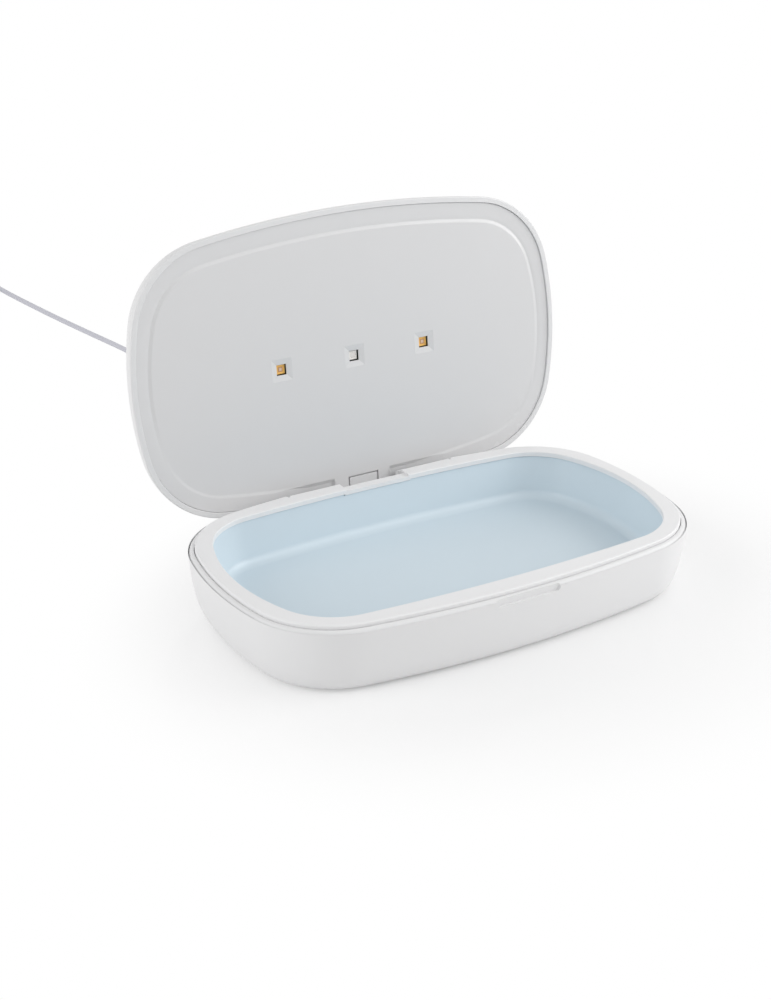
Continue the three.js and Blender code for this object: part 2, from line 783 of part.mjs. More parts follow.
const reedWireRoute = [
  [reedWireStart, reedY, reedZ],
  [(reedWireStart + earEnd) / 2, reedY, reedZ - reedRadius / 2],
  [(earEnd + mainBoardLength / 2) / 2, reedY, (reedZ + boardWireZ) / 2],
  [mainBoardLength / 2 + 2 * wireRadius, (reedY + boardWireY) / 2, boardWireZ + 2 * screwHeadHeight],
  [boardPostSpacing / 2, boardWireY, boardWireZ + 2 * screwHeadHeight],
  [socketWidth + 4 * wireRadius, boardWireY, boardWireZ],
];
place(root, 'reed_wires', lead(reedWireRoute, smallRoundSteps / 2, wireRadius, 14), wireJacket);

function ribbon(x0, x1, centreLine, thickness) {
  const upper = centreLine.map(([y, z, ny, nz]) => [y + (ny * thickness) / 2, z + (nz * thickness) / 2]);
  const lower = centreLine.map(([y, z, ny, nz]) => [y - (ny * thickness) / 2, z - (nz * thickness) / 2]);
  return alongX(polygon([...upper, ...lower.reverse()]), x0, x1);
}
const ribbonX = wireSlotLength / 2 - ribbonWidth;
const hingeWireY = openingHalfWidth + traySetback + trayWall + 2 * wireRadius;
const hingeWireRoute = [
  [socketWidth, boardWireY, boardWireZ],
  [socketWidth, boardWireY, boardWireZ + 2 * wireRadius],
  [socketWidth * 0.6, (boardWireY + hingeWireY) / 2, (boardWireZ + hingeZ) / 2],
  [socketWidth * 0.3, hingeWireY, hingeZ - 2 * wireRadius],
  [socketWidth * 0.3, hingeWireY, hingeZ],
];
place(root, 'base_wires', lead(hingeWireRoute, smallRoundSteps / 2, wireRadius, 12), wireJacket);

// Lid shell: a shallow dome with a lip, and the hole for the button's ring
const ringOuter = buttonRadius + seatGap + ringWidth;
const ringHole = ringOuter + seatGap;
const buttonY = -buttonSetback;
const ringFlangeTop = domeCeiling - seatGap;
const ringFlangeBottom = ringFlangeTop - ringFlangeThickness;
const buttonTop = closedHeight + buttonProud;
const buttonFlangeTop = ringFlangeBottom - seatGap;
const buttonFlangeBottom = buttonFlangeTop - buttonFlangeThickness;
const stemBottom = buttonFlangeBottom - buttonStemLength;
const plungerTop = stemBottom - seatGap;
const switchTop = plungerTop - plungerHeight;
const buttonBoardTop = switchTop - switchHeight - seatGap;
const buttonBoardBottom = buttonBoardTop - boardThickness;
const buttonPostX = buttonBoardLength / 2 - buttonPostRadius;

function lidShell() {
  const sections = [];
  const innerSteps = 5;
  for (let i = 0; i < innerSteps; i++) {
    const turn = (Math.PI / 2) * (1 - i / innerSteps);
    const { share, inset } = bentWall(turn, domeInnerTaper, domeBendPower, domeTuckPower);
    sections.push([lidOutline(lipWidth + inset), domeInnerStart + share * (domeCeiling - domeInnerStart)]);
  }
  sections.push([lidOutline(lipWidth), domeInnerStart]);
  sections.push([lidOutline(lipWidth), lipBottom + lipChamfer]);
  sections.push([lidOutline(lipWidth - lipChamfer), lipBottom]);
  const domeStart = lipBottom + lipEdgeRadius;
  const edgeSteps = 2;
  for (let i = 0; i < edgeSteps; i++) {
    const turn = (Math.PI / 2) * (i / edgeSteps);
    const inset = lipEdgeRadius * (1 - Math.sin(turn));
    sections.push([lidOutline(inset), lipBottom + lipEdgeRadius * (1 - Math.cos(turn))]);
  }
  const outerSteps = 8;
  for (let i = 0; i <= outerSteps; i++) {
    const turn = (Math.PI / 2) * (i / outerSteps);
    const { share, inset } = bentWall(turn, domeTaper, domeBendPower, domeTuckPower);
    sections.push([lidOutline(inset), domeStart + share * (closedHeight - domeStart)]);
  }
  const postTop = domeCeiling + domeThickness / 2;
  const posts = [-1, 1].map((side) =>
    disc(side * buttonPostX, buttonY, buttonBoardTop + seatGap, postTop, buttonPostRadius),
  );
  const holes = [-1, 1].map((side) =>
    disc(side * buttonPostX, buttonY, 0, domeCeiling - screwSeatThickness, screwShaftRadius + pinClearance),
  );
  const ringOpening = disc(0, buttonY, domeCeiling - overrun, closedHeight + overrun, ringHole, roundSteps);
  return cut(join(loft(sections), posts), [ringOpening, ...holes]);
}
place(closedLid, 'lid_shell', lidShell(), whitePlastic);

// Lid liner: band, raised panel with lamp windows, hinge pockets and the knuckle that turns on the pins
const lampPlaces = [['left', -lampSpacing], ['centre', 0], ['right', lampSpacing]];
const lampScrewPlaces = [-lampScrewSpacing / 2, lampScrewSpacing / 2];
const lampRowY = lampRowSetback;
const pocketFrontY = hingeY - pocketFrontSetback;
const wireCoverFrontY = hingeY - wireCoverFrontSetback;
const wireSlotY = armFrontY - armChamfer - wireSlotWidth;

// A square block around one lamp's centre
function lampBlock(x, length, bottom, top) {
  return block(x - length / 2, x + length / 2, lampRowY - length / 2, lampRowY + length / 2, bottom, top);
}

function liner() {
  const slope = panelSlopeShares.map(([out, up]) => {
    return [panelOutline(-panelSlopeWidth * out), panelZ + panelRise * up];
  });
  const plate = loft([
    ...slope,
    [lidOutline(linerInset), bandZ - bandDish],
    [lidOutline(linerInset), linerTop],
    [panelOutline(bandThickness / 2 - panelSlopeWidth), linerTop],
    [panelOutline(bandThickness / 2), panelTop],
  ]);
  const knuckleEnd = notchEnd - hingeGap;
  const panelRearY = boxWidth / 2 - panelRearMargin - seatGap;
  const knuckleProfile = polygon([
    [panelRearY, panelZ],
    [armFrontY - armChamfer, panelZ],
    [armFrontY, panelZ - armChamfer],
    [armFrontY, hingeZ],
    [armRearY, hingeZ],
    [armRearY, linerTop],
    [panelRearY, linerTop],
  ]);
  const knuckle = alongX(knuckleProfile, -armEnd, armEnd);
  const barrel = rod(-knuckleEnd, knuckleEnd, hingeY, hingeZ, knuckleRadius);
  const pocketTop = bandZ + pocketDepth;
  const pocketBodies = [-1, 1].map((side) => {
    const near = side * (armEnd - pocketWall);
    const far = side * (earEnd + pocketWall);
    const pile = loft([
      [lidOutline(linerInset + pocketWall), linerTop - bandThickness / 2],
      [lidOutline(linerInset + pocketWall), pocketTop + pocketWall],
    ]);
    const region = block(
      Math.min(near, far),
      Math.max(near, far),
      pocketFrontY - pocketWall,
      boxWidth / 2,
      bandZ,
      pocketTop + pocketWall,
    );
    return common(pile, region);
  });
  const bossBottom = panelTop - bandThickness / 2;
  const windowBosses = lampPlaces.map(([, x]) => lampBlock(x, windowBossLength, bossBottom, windowBossTop));
  const screwBosses = lampScrewPlaces.map((x) => {
    return disc(x, lampRowY, bossBottom, windowBossTop, lampBossRadius);
  });
  const solid = join(plate, [knuckle, barrel, ...pocketBodies, ...windowBosses, ...screwBosses]);

  const tools = [];
  for (const side of [-1, 1]) {
    const near = side * armEnd;
    const deepEnd = side * (earEnd - pocketRampLength);
    const shallowEnd = side * earEnd;
    const mouth = bandZ - panelRise - overrun;
    const outline = polygon([
      [near, mouth],
      [near, pocketTop],
      [deepEnd, pocketTop],
      [shallowEnd, bandZ],
      [shallowEnd, mouth],
    ]);
    tools.push(alongY(outline, pocketFrontY, boxWidth / 2 + overrun));
    const boreNear = side * (notchEnd - pinLength / 2 - seatGap);
    const boreFar = side * (notchEnd + overrun);
    tools.push(
      rod(Math.min(boreNear, boreFar), Math.max(boreNear, boreFar), hingeY, hingeZ, pinRadius + pinClearance),
    );
  }
  const flare = (windowMouth - windowThroat) / windowSlopeDepth;
  const wellBottom = panelZ + windowSlopeDepth + windowLip;
  for (const [, x] of lampPlaces) {
    const throatReach = windowThroat * Math.SQRT1_2;
    const mouthReach = (windowMouth + flare * seatGap) * Math.SQRT1_2;
    const height = windowSlopeDepth + seatGap;
    const funnel = new THREE.CylinderGeometry(throatReach, mouthReach, height, 4);
    funnel.rotateY(Math.PI / 4).rotateX(Math.PI / 2);
    tools.push(funnel.translate(x, lampRowY, panelZ - seatGap + height / 2));
    tools.push(lampBlock(x, windowThroat, panelZ, windowBossTop + overrun));
    tools.push(lampBlock(x, windowWellLength, wellBottom, windowBossTop + overrun));
  }
  const lampScrewHole = screwShaftRadius + pinClearance;
  for (const x of lampScrewPlaces) {
    tools.push(disc(x, lampRowY, panelZ + 3 * seatGap, windowBossTop + overrun, lampScrewHole));
  }
  const coverEnd = wireCoverLength / 2;
  const recessBottom = panelZ - armChamfer - seatGap;
  const recessTop = panelZ + wireCoverThickness + seatGap;
  tools.push(block(-coverEnd, coverEnd, wireCoverFrontY, armFrontY + seatGap, recessBottom, recessTop));
  const slotEnd = wireSlotLength / 2;
  tools.push(block(-slotEnd, slotEnd, wireSlotY, wireSlotY + wireSlotWidth, panelZ, linerTop + overrun));
  return cut(solid, tools);
}
place(closedLid, 'lid_liner', liner(), linerPlastic);

// Cover over the slot that the lid's wires pass through, beside the hinge
const coverHalf = wireCoverLength / 2 - wireCoverGroove;
place(
  closedLid,
  'hinge_wire_cover',
  block(
    -coverHalf,
    coverHalf,
    wireCoverFrontY + wireCoverGroove,
    armFrontY - armChamfer,
    panelZ,
    panelZ + wireCoverThickness,
  ),
  linerPlastic,
);

// Lamp board, lamps and screws
const lampBoardHalf = lampSpacing + lampBoardEndMargin;
const lampBoardTop = lampBoardZ + boardThickness;
const lampBoardHoles = lampScrewPlaces.map((x) =>
  disc(x, lampRowY, lampBoardZ - overrun, lampBoardTop + overrun, screwShaftRadius + seatGap),
);
const lampBoardFront = lampRowY - lampBoardWidth / 2;
const lampBoardRear = lampRowY + lampBoardWidth / 2;
const lampBoardSides = [-lampBoardHalf, lampBoardHalf, lampBoardFront, lampBoardRear];
const lampBoard = block(...lampBoardSides, lampBoardZ, lampBoardTop);
place(closedLid, 'lamp_board', cut(lampBoard, lampBoardHoles), boardBlack);
lampPlaces.forEach(([word, x]) => {
  const lamp = lampBlock(x, lampLength, lampFaceZ, lampFaceZ + lampHeight);
  place(closedLid, `uv_lamp_${word}`, lamp, word === 'centre' ? paleLamp : amberLamp);
});
[['left', lampScrewPlaces[0]], ['right', lampScrewPlaces[1]]].forEach(([word, x]) => {
  const headZ = lampBoardTop + seatGap;
  const screw = join(disc(x, lampRowY, headZ, headZ + screwHeadHeight, screwHeadRadius), [
    disc(x, lampRowY, panelZ + 4 * seatGap, headZ + screwHeadHeight / 2, screwShaftRadius),
  ]);
  place(closedLid, `lamp_board_screw_${word}`, screw, steel);
});

// Ribbon from the hinge slot to the lamp board, and from there to the button board
const lidRibbonZ = linerTop + seatGap + ribbonThickness / 2;
const lidRibbon = ribbon(
  ribbonX,
  ribbonX + ribbonWidth,
  [
    [wireSlotY + wireSlotWidth / 2, lidRibbonZ, 0, 1],
    [lampBoardRear + 2 * wireRadius, lidRibbonZ, 0, 1],
    [lampBoardRear + seatGap, (lidRibbonZ + lampBoardZ) / 2, 0, 1],
  ],
  ribbonThickness,
);
place(closedLid, 'lid_ribbon', lidRibbon, wireJacket);
const buttonWireStartY = lampBoardFront - seatGap;
const buttonWireEndY = buttonY + buttonBoardWidth / 2 + seatGap;
const buttonWireRoute = [
  [lampBoardHalf / 4, buttonWireStartY, lampBoardZ + boardThickness / 2],
  [lampBoardHalf / 5, (2 * buttonWireStartY + buttonWireEndY) / 3, lampBoardZ + wireRadius],
  [lampBoardHalf / 6, buttonWireEndY, buttonBoardBottom + boardThickness / 2],
];
place(closedLid, 'button_wires', lead(buttonWireRoute, smallRoundSteps / 2, wireRadius, 6), wireJacket);

// Magnet that tells the reed switch that the lid is shut
const magnetBottom = linerTop + seatGap;
const magnetY = reedY - reedRadius;
place(
  closedLid,
  'sensor_magnet',
  disc(reedOffset, magnetY, magnetBottom, magnetBottom + magnetThickness, magnetRadius, roundSteps),
  steel,
);

// Power button, its light ring, its switch and its board
function ringPiece() {
  const boreEnds = [ringFlangeBottom - overrun, closedHeight + overrun];
  const bore = disc(0, buttonY, ...boreEnds, buttonRadius + seatGap, roundSteps);
  const flange = disc(0, buttonY, ringFlangeBottom, ringFlangeTop, ringOuter + ringFlangeWidth, roundSteps);
  const sleeve = disc(0, buttonY, ringFlangeBottom, closedHeight - ringDrop, ringOuter, roundSteps);
  return cut(join(sleeve, [flange]), [bore]);
}
place(closedLid, 'indicator_ring', ringPiece(), lightGuide);

function buttonCap() {
  const crown = buttonProud / 2;
  const profile = [
    [0, stemBottom],
    [buttonStemRadius, stemBottom],
    [buttonStemRadius, buttonFlangeBottom],
    [buttonRadius + buttonFlangeWidth, buttonFlangeBottom],
    [buttonRadius + buttonFlangeWidth, buttonFlangeTop],
    [buttonRadius, buttonFlangeTop],
    [buttonRadius, buttonTop - crown],
    [buttonRadius - buttonFlangeThickness, buttonTop],
    [0, buttonTop - crown],
  ].map(([radius, z]) => new THREE.Vector2(radius, z));
  return new THREE.LatheGeometry(profile, roundSteps).rotateX(Math.PI / 2).translate(0, buttonY, 0);
}
place(closedLid, 'power_button', buttonCap(), whitePlastic);
const plunger = disc(0, buttonY, switchTop - buttonTravel, plungerTop, plungerRadius);
place(closedLid, 'switch_plunger', plunger, blackPlastic);

const half = switchLength / 2;
const switchBase = switchTop - switchHeight;
const plungerWell = disc(
  0,
  buttonY,
  switchTop - 2 * buttonTravel - seatGap,
  switchTop + overrun,
  plungerRadius + pinClearance,
);
place(
  closedLid,
  'button_switch',
  cut(block(-half, half, buttonY - half, buttonY + half, switchBase, switchTop), [plungerWell]),
  blackPlastic,
);
const buttonBoardHoleEnds = [buttonBoardBottom - overrun, buttonBoardTop + overrun];
const buttonBoardHoles = [-1, 1].map((side) =>
  disc(side * buttonPostX, buttonY, ...buttonBoardHoleEnds, screwShaftRadius + seatGap),
);
place(
  closedLid,
  'button_board',
  cut(
    block(
      -buttonBoardLength / 2,
      buttonBoardLength / 2,
      buttonY - buttonBoardWidth / 2,
      buttonY + buttonBoardWidth / 2,
      buttonBoardBottom,
      buttonBoardTop,
    ),
    buttonBoardHoles,
  ),
  boardGreen,
);
[['left', -1], ['right', 1]].forEach(([word, side]) => {
  const x = side * buttonPostX;
  const headTop = buttonBoardBottom - seatGap;
  const shaftTop = domeCeiling - screwSeatThickness - seatGap;
  const screw = join(disc(x, buttonY, headTop - screwHeadHeight, headTop, screwHeadRadius), [
    disc(x, buttonY, headTop - screwHeadHeight / 2, shaftTop, screwShaftRadius),
  ]);
  place(closedLid, `button_board_screw_${word}`, screw, steel);
});

// Power lead: the plug in the socket, the run behind the box, the put-away coil and the supply plug
const tongueEnd = socketRear - plugTongueDepth;
const wallBehind = boxWidth / 2 - baseInset(socketZ + plugGripHeight / 2);
const gripStart = wallBehind + seatGap;
const gripEnd = gripStart + plugGripLength;
const reliefStart = gripEnd + seatGap;
const cordStart = reliefStart + reliefLength + seatGap;
const tongueRadius = plugTongueHeight / 2 - pinClearance;
const tongueShape = roundedRectangle(0, socketZ, plugTongueWidth, plugTongueHeight, tongueRadius);
place(root, 'lead_plug_tongue', alongY(tongueShape, tongueEnd, gripStart - seatGap), steel);
place(
  root,
  'lead_plug_grip',
  alongY(roundedRectangle(0, socketZ, plugGripWidth, plugGripHeight, plugGripRadius), gripStart, gripEnd),
  cableJacket,
);

function strainRelief() {
  const profile = [[0, 0]];
  const ribPitch = reliefLength / (reliefRibs + ribShare);
  const ribDepth = (reliefRootRadius - reliefTipRadius) / 2;
  for (let i = 0; i <= reliefRibs; i++) {
    const radius = reliefRootRadius + ((reliefTipRadius - reliefRootRadius) * i) / reliefRibs;
    const start = i * ribPitch;
    profile.push([radius, start], [radius, start + ribPitch * ribShare]);
    if (i < reliefRibs) {
      profile.push([radius - ribDepth, start + ribPitch * grooveStartShare]);
      profile.push([radius - ribDepth, start + ribPitch * grooveEndShare]);
    }
  }
  profile.push([0, reliefLength]);
  return new THREE.LatheGeometry(profile.map(([radius, y]) => new THREE.Vector2(radius, y)), reliefSteps);
}
place(root, 'lead_strain_relief', strainRelief().translate(0, reliefStart, socketZ), cableJacket);

// Run of the lead, by hand-chosen places: x, distance behind the relief, and share of the plug's height
const runLowZ = cordDiameter / 2 + runLift;
const runRoute = runPlaces.map(([x, distance, share]) => {
  return [x, cordStart + distance, runLowZ + (socketZ - runLowZ) * share];
});
const coilCentreY = cordStart + coilDistance;
const runSteps = 76;
place(root, 'lead_run', lead(runRoute, cordSides, cordDiameter / 2, runSteps), cableJacket);

// Coil: one tube that spirals in, climbs a layer where it turns back, and spirals out again
const coilOuterRadius = coilRadius + (coilPitch * coilTurns) / 4 - coilPitch / 8;
const coilLowZ = tieThickness + seatGap + cordDiameter / 2;

function coilPoint(turns) {
  const middle = coilTurns / 2;
  const radius = coilOuterRadius - coilPitch * (middle - Math.abs(turns - middle));
  const climb = THREE.MathUtils.smoothstep(turns, middle - climbHalfTurn, middle + climbHalfTurn);
  const angle = 2 * Math.PI * turns;
  return new THREE.Vector3(
    coilCentreX + radius * Math.cos(angle),
    coilCentreY + radius * Math.sin(angle),
    coilLowZ + coilPitch * climb,
  );
}

function coilPath() {
  const points = [];
  const steps = Math.round(coilTurns * coilStepsPerTurn);
  for (let i = 0; i <= steps; i++) points.push(coilPoint(i / coilStepsPerTurn));
  const first = points[0].clone();
  const last = points[points.length - 1].clone();
  const leadIn = [new THREE.Vector3(first.x, first.y - cordDiameter, first.z)];
  const tail = tailShares.map((share) => {
    const z = last.z + (usbGripHeight / 2 - last.z) * share;
    return new THREE.Vector3(last.x, last.y - tailLength * share, z);
  });
  return [...leadIn, ...points, ...tail];
}

// A tube of straight steps along points, with its end faces square to the first and last step
function tubeThrough(points, radius, sides) {
  const up = new THREE.Vector3(0, 0, 1);
  const rings = points.map((point, i) => {
    const before = points[Math.max(i - 1, 0)];
    const after = points[Math.min(i + 1, points.length - 1)];
    const tangent = after.clone().sub(before).normalize();
    const side = tangent.clone().cross(up).normalize();
    const lift = side.clone().cross(tangent);
    const ring = [];
    for (let j = 0; j < sides; j++) {
      const angle = (2 * Math.PI * (j + 0.5)) / sides;
      const spoke = side.clone().multiplyScalar(radius * Math.cos(angle));
      ring.push(point.clone().add(spoke).addScaledVector(lift, radius * Math.sin(angle)));
    }
    return ring;
  });
  const positions = [];
  const face = (...corners) => corners.forEach((corner) => positions.push(corner.x, corner.y, corner.z));
  for (let i = 0; i + 1 < rings.length; i++) {
    for (let j = 0; j < sides; j++) {
      const k = (j + 1) % sides;
      face(rings[i][j], rings[i + 1][k], rings[i][k]);
      face(rings[i][j], rings[i + 1][j], rings[i + 1][k]);
    }
  }
  const end = rings[rings.length - 1];
  for (let j = 1; j + 1 < sides; j++) {
    face(rings[0][0], rings[0][j], rings[0][j + 1]);
    face(end[0], end[j + 1], end[j]);
  }
  const geometry = new THREE.BufferGeometry();
  return geometry.setAttribute('position', new THREE.Float32BufferAttribute(positions, 3));
}

// Least gap between stretches of the coil that lie more than half a turn apart along the lead
function leastGap() {
  const samples = [];
  const fine = 4 * coilStepsPerTurn;
  for (let i = 0; i <= coilTurns * fine; i++) samples.push(coilPoint(i / fine));
  let least = Infinity;
  for (let i = 0; i < samples.length; i++) {
    for (let j = i + fine / 2; j < samples.length; j++) {
      least = Math.min(least, samples[i].distanceTo(samples[j]));
    }
  }
  return least - cordDiameter;
}
const coilRoute = coilPath();
console.log(`least gap in the coil: ${leastGap().toFixed(2)} mm`);
place(root, 'lead_coil', tubeThrough(coilRoute, cordDiameter / 2, coilSides), cableJacket);

// Tie round the coil's turns
function tie() {
  const inner = coilOuterRadius - coilPitch * (1 + tieTurnShare) - cordDiameter / 2 - seatGap;
  const outer = coilOuterRadius - coilPitch * tieTurnShare + cordDiameter / 2 + seatGap;
  const height = coilPitch + cordDiameter + 2 * seatGap;
  const middle = (inner + outer) / 2;
  const centreZ = tieThickness + height / 2;
  const boreWidth = outer - inner;
  const bandWidth = boreWidth + 2 * tieThickness;
  const band = roundedRectangle(middle, centreZ, bandWidth, height + 2 * tieThickness, tieWidth / 4);
  const bore = roundedRectangle(middle, centreZ, boreWidth, height, tieThickness / 4);
  const loop = cut(alongY(band, -tieWidth / 2, tieWidth / 2), [alongY(bore, -tieWidth, tieWidth)]);
  return loop.rotateZ(2 * Math.PI * tieTurnShare).translate(coilCentreX, coilCentreY, 0);
}
place(root, 'cable_tie', tie(), blackPlastic);

// Supply plug on the table beside the coil
const coilEnd = coilRoute[coilRoute.length - 1];
const usbReliefStart = coilEnd.y - seatGap;
const usbGripStart = usbReliefStart - reliefLength - seatGap;
const usbGripEnd = usbGripStart - usbGripLength;
const usbShellEnd = usbGripEnd - seatGap - usbShellLength;
place(
  root,
  'supply_plug_relief',
  strainRelief().translate(coilEnd.x, usbReliefStart - reliefLength, coilEnd.z),
  cableJacket,
);
place(
  root,
  'supply_plug_grip',
  alongY(
    roundedRectangle(coilEnd.x, coilEnd.z, usbGripWidth, usbGripHeight, plugGripRadius),
    usbGripEnd,
    usbGripStart,
  ),
  cableJacket,
);
const usbBore = block(
  coilEnd.x - usbShellWidth / 2 + usbShellWall,
  coilEnd.x + usbShellWidth / 2 - usbShellWall,
  usbShellEnd - overrun,
  usbGripEnd - seatGap - usbShellWall,
  coilEnd.z - usbShellHeight / 2 + usbShellWall,
  coilEnd.z + usbShellHeight / 2 - usbShellWall,
);
const usbShellBlock = block(
  coilEnd.x - usbShellWidth / 2,
  coilEnd.x + usbShellWidth / 2,
  usbShellEnd,
  usbGripEnd - seatGap,
  coilEnd.z - usbShellHeight / 2,
  coilEnd.z + usbShellHeight / 2,
);
place(root, 'supply_plug_shell', cut(usbShellBlock, [usbBore]), steel);

export default root;
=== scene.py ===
import math

import bmesh
import bpy
from mathutils import Matrix, Vector


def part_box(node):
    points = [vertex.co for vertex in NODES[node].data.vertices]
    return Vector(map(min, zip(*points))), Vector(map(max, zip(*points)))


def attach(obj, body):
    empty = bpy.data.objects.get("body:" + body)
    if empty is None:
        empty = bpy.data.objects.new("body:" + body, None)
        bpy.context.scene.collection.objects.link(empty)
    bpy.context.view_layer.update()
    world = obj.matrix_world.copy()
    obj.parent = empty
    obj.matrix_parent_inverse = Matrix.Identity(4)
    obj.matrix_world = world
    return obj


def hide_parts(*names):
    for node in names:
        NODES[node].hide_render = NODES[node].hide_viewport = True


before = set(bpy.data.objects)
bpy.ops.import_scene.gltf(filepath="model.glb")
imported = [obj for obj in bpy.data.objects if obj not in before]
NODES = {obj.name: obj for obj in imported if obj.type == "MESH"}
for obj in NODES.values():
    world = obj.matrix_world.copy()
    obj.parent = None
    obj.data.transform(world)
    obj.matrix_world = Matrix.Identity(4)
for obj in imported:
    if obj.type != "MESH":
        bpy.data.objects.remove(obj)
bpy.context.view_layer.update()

MM = 0.001

# Sizes of the box in millimetres, from the part's own source
LENGTH = 218.0
WIDTH = 135.0
LONG_RADIUS = 475.0
SHORT_RADIUS = 149.0
CORNER_RADIUS = 41.0
OPENING_END = 9.3
OPENING_SIDE = 12.6
OPENING_LONG = 817.0
OPENING_SHORT = 93.0
OPENING_CORNER = 29.0
FOOT_HEIGHT = 0.8
PARTING = 30.1
LID_GAP = 1.2
LID_HEIGHT = 18.4
GAP = 0.3
HINGE_GAP = 0.4
OVERRUN = 2.0
WALL = 2.6
WALL_TAPER = 9.6
WALL_BEND = 1.293
WALL_TUCK = 3.313
FLOOR = 2.4
FLOOR_RADIUS = 2.5
SHOULDER_INSET = 2.4
SHOULDER_DROP = 3.2
RECESS_LENGTH = 31.0
RECESS_HEIGHT = 3.4
RECESS_DEPTH = 1.5
RECESS_RADIUS = 1.6
BEZEL_RISE = 1.8
STRIP_HEIGHT = 2.3
BEZEL_OUTER = 0.8
BEZEL_INNER = 0.5
SKIRT_DEPTH = 1.2
SKIRT_THICKNESS = 1.5
TRAY_SETBACK = 0.6
TRAY_WALL = 1.6
TRAY_FLOOR = 9.4
TRAY_TAPER = 3.2
TRAY_RADIUS = 5.0
TRAY_FLANGE = 2.4
POST_RADIUS = 3.0
HINGE_INSET = 5.15
HINGE_DROP = 4.0
OPEN_ANGLE = math.radians(96.7)
NOTCH_LENGTH = 33.0
TAB_DROP = 0.5
TAB_RISE = 1.4
TAB_BITE = 0.8
EAR_LENGTH = 27.5
EAR_SETBACK = 0.8
EAR_SLOT = 1.2
PIN_RADIUS = 1.0
PIN_LENGTH = 17.0
PIN_CLEARANCE = 0.12
BARREL_RADIUS = 2.4
KNUCKLE_RADIUS = 2.6
ARM_LENGTH = 28.8
ARM_FRONT = 1.3
ARM_REAR = 1.8
ARM_CHAMFER = 0.6
COVER_GROOVE = 0.7
COVER_THICKNESS = 0.9
LID_OVERHANG = 0.4
LIP_WIDTH = 2.6
LIP_EDGE = 0.6
DOME_TAPER = 16.0
DOME_INNER_TAPER = 14.5
DOME_BEND = 1.82
DOME_TUCK = 2.47
DOME_THICKNESS = 1.8
PANEL_RECESS = 0.9
PANEL_RISE = 0.8
PANEL_END = 9.8
PANEL_FRONT = 11.9
PANEL_REAR = 10.4
PANEL_LONG = 480.0
PANEL_SHORT = 111.5
PANEL_CORNER = 30.4
PANEL_SLOPE = 2.0
BAND_DISH = 0.9
BAND_THICKNESS = 1.4
POCKET_SETBACK = 5.1
POCKET_RAMP = 16.0
POCKET_WALL = 1.2
LAMP_SPACING = 37.1
LAMP_ROW = 0.6
LAMP_DEPTH = 1.3
LAMP_HEIGHT = 1.1
WINDOW_MOUTH = 10.2
WINDOW_SLOPE = 0.7
WINDOW_LIP = 0.5
WINDOW_WELL = 7.6
WINDOW_BOSS = 10.0
BUTTON_SETBACK = 30.0
BUTTON_RADIUS = 7.5
BUTTON_PROUD = 0.3
BUTTON_FLANGE = 1.2
BUTTON_FLANGE_THICKNESS = 1.1
BUTTON_STEM = 1.3
BUTTON_STEM_RADIUS = 2.0
RING_WIDTH = 1.4
RING_DROP = 0.1
RING_FLANGE = 1.3
RING_FLANGE_THICKNESS = 1.2
FOOT_X = 71.0
FOOT_Y = 41.5
FOOT_RADIUS = 7.0
FOOT_THICKNESS = 1.6
SCREW_HEAD = 2.2
SCREW_HEAD_HEIGHT = 1.2
SCREW_SEAT_THICKNESS = 1.6
BOARD_HEIGHT = 7.6
BOARD_THICKNESS = 1.2
BOARD_WIDTH = 9.2
BOARD_INSET = 6.5
SOCKET_WIDTH = 9.2
SOCKET_HEIGHT = 3.4
SOCKET_RADIUS = 1.4

# Fine forms in millimetres, some of them closer to the photograph than in the solids
EAR_ROOM_SLOPE = 1.3
EAR_ROOM_RISE = 1.95
LEDGE_DROP = 1.0
COVER_LENGTH = 16.0
COVER_SETBACK = 5.3
COVER_X = 0.6
LIP_CHAMFER = 0.25
SEAM = 0.16
PANEL_LEAN = 0.4
BAND_DROP_FRONT = 0.2
BAND_DROP_REAR = 0.8
BAND_EASE = 50.0
DISH_RUN = 1.5
DISH_SHARE = 0.5
POCKET_DEPTH = 0.9
POCKET_SLOPE = 0.9
POCKET_SIDE = 0.5
LAMP_LENGTH = 4.25
WINDOW_THROAT = 4.9
LAMP_RIM = 0.45
LAMP_STEP = 0.3
DIE_FRAME = 2.3
DIE_LENGTH = 1.3
PALE_LENGTH = 4.0
LENS_RADIUS = 1.25
LENS_CLEARANCE = 0.15
BUTTON_EDGE = 0.7
BUTTON_CROWN = 0.15
BUTTON_DISH_MARGIN = 0.2
RING_EDGE = 0.3
RING_EDGE_BOW = 0.09
FOOT_EDGE = 0.35

# Places worked out from the sizes
CLOSED_HEIGHT = PARTING + LID_GAP + LID_HEIGHT
HINGE_Y = WIDTH / 2 - HINGE_INSET
HINGE_Z = PARTING - HINGE_DROP
FLOOR_TOP = FOOT_HEIGHT + FLOOR
BEZEL_TOP = PARTING + BEZEL_RISE
STRIP_BOTTOM = BEZEL_TOP - STRIP_HEIGHT
TRAY_TOP = STRIP_BOTTOM - GAP
FLANGE_BOTTOM = TRAY_TOP - TRAY_WALL
NOTCH_END = NOTCH_LENGTH / 2
EAR_END = NOTCH_END + EAR_LENGTH
ARM_END = ARM_LENGTH / 2
EAR_REAR = HINGE_Y - EAR_SETBACK
ARM_FRONT_Y = HINGE_Y - ARM_FRONT
ARM_REAR_Y = HINGE_Y + ARM_REAR
LIP_Z = PARTING + LID_GAP
PANEL_Z = LIP_Z + PANEL_RECESS
BAND_Z = PANEL_Z + PANEL_RISE
LINER_TOP = BAND_Z + BAND_THICKNESS
DOME_START = LINER_TOP + GAP
CEILING = CLOSED_HEIGHT - DOME_THICKNESS
LAMP_FACE = PANEL_Z + WINDOW_SLOPE + LAMP_DEPTH
LAMP_FLOOR = LAMP_FACE + LAMP_STEP
WINDOW_Z = PANEL_Z + PANEL_LEAN / 2
LINER_INSET = LIP_WIDTH + SEAM
ARM_Z = PANEL_Z + PANEL_LEAN
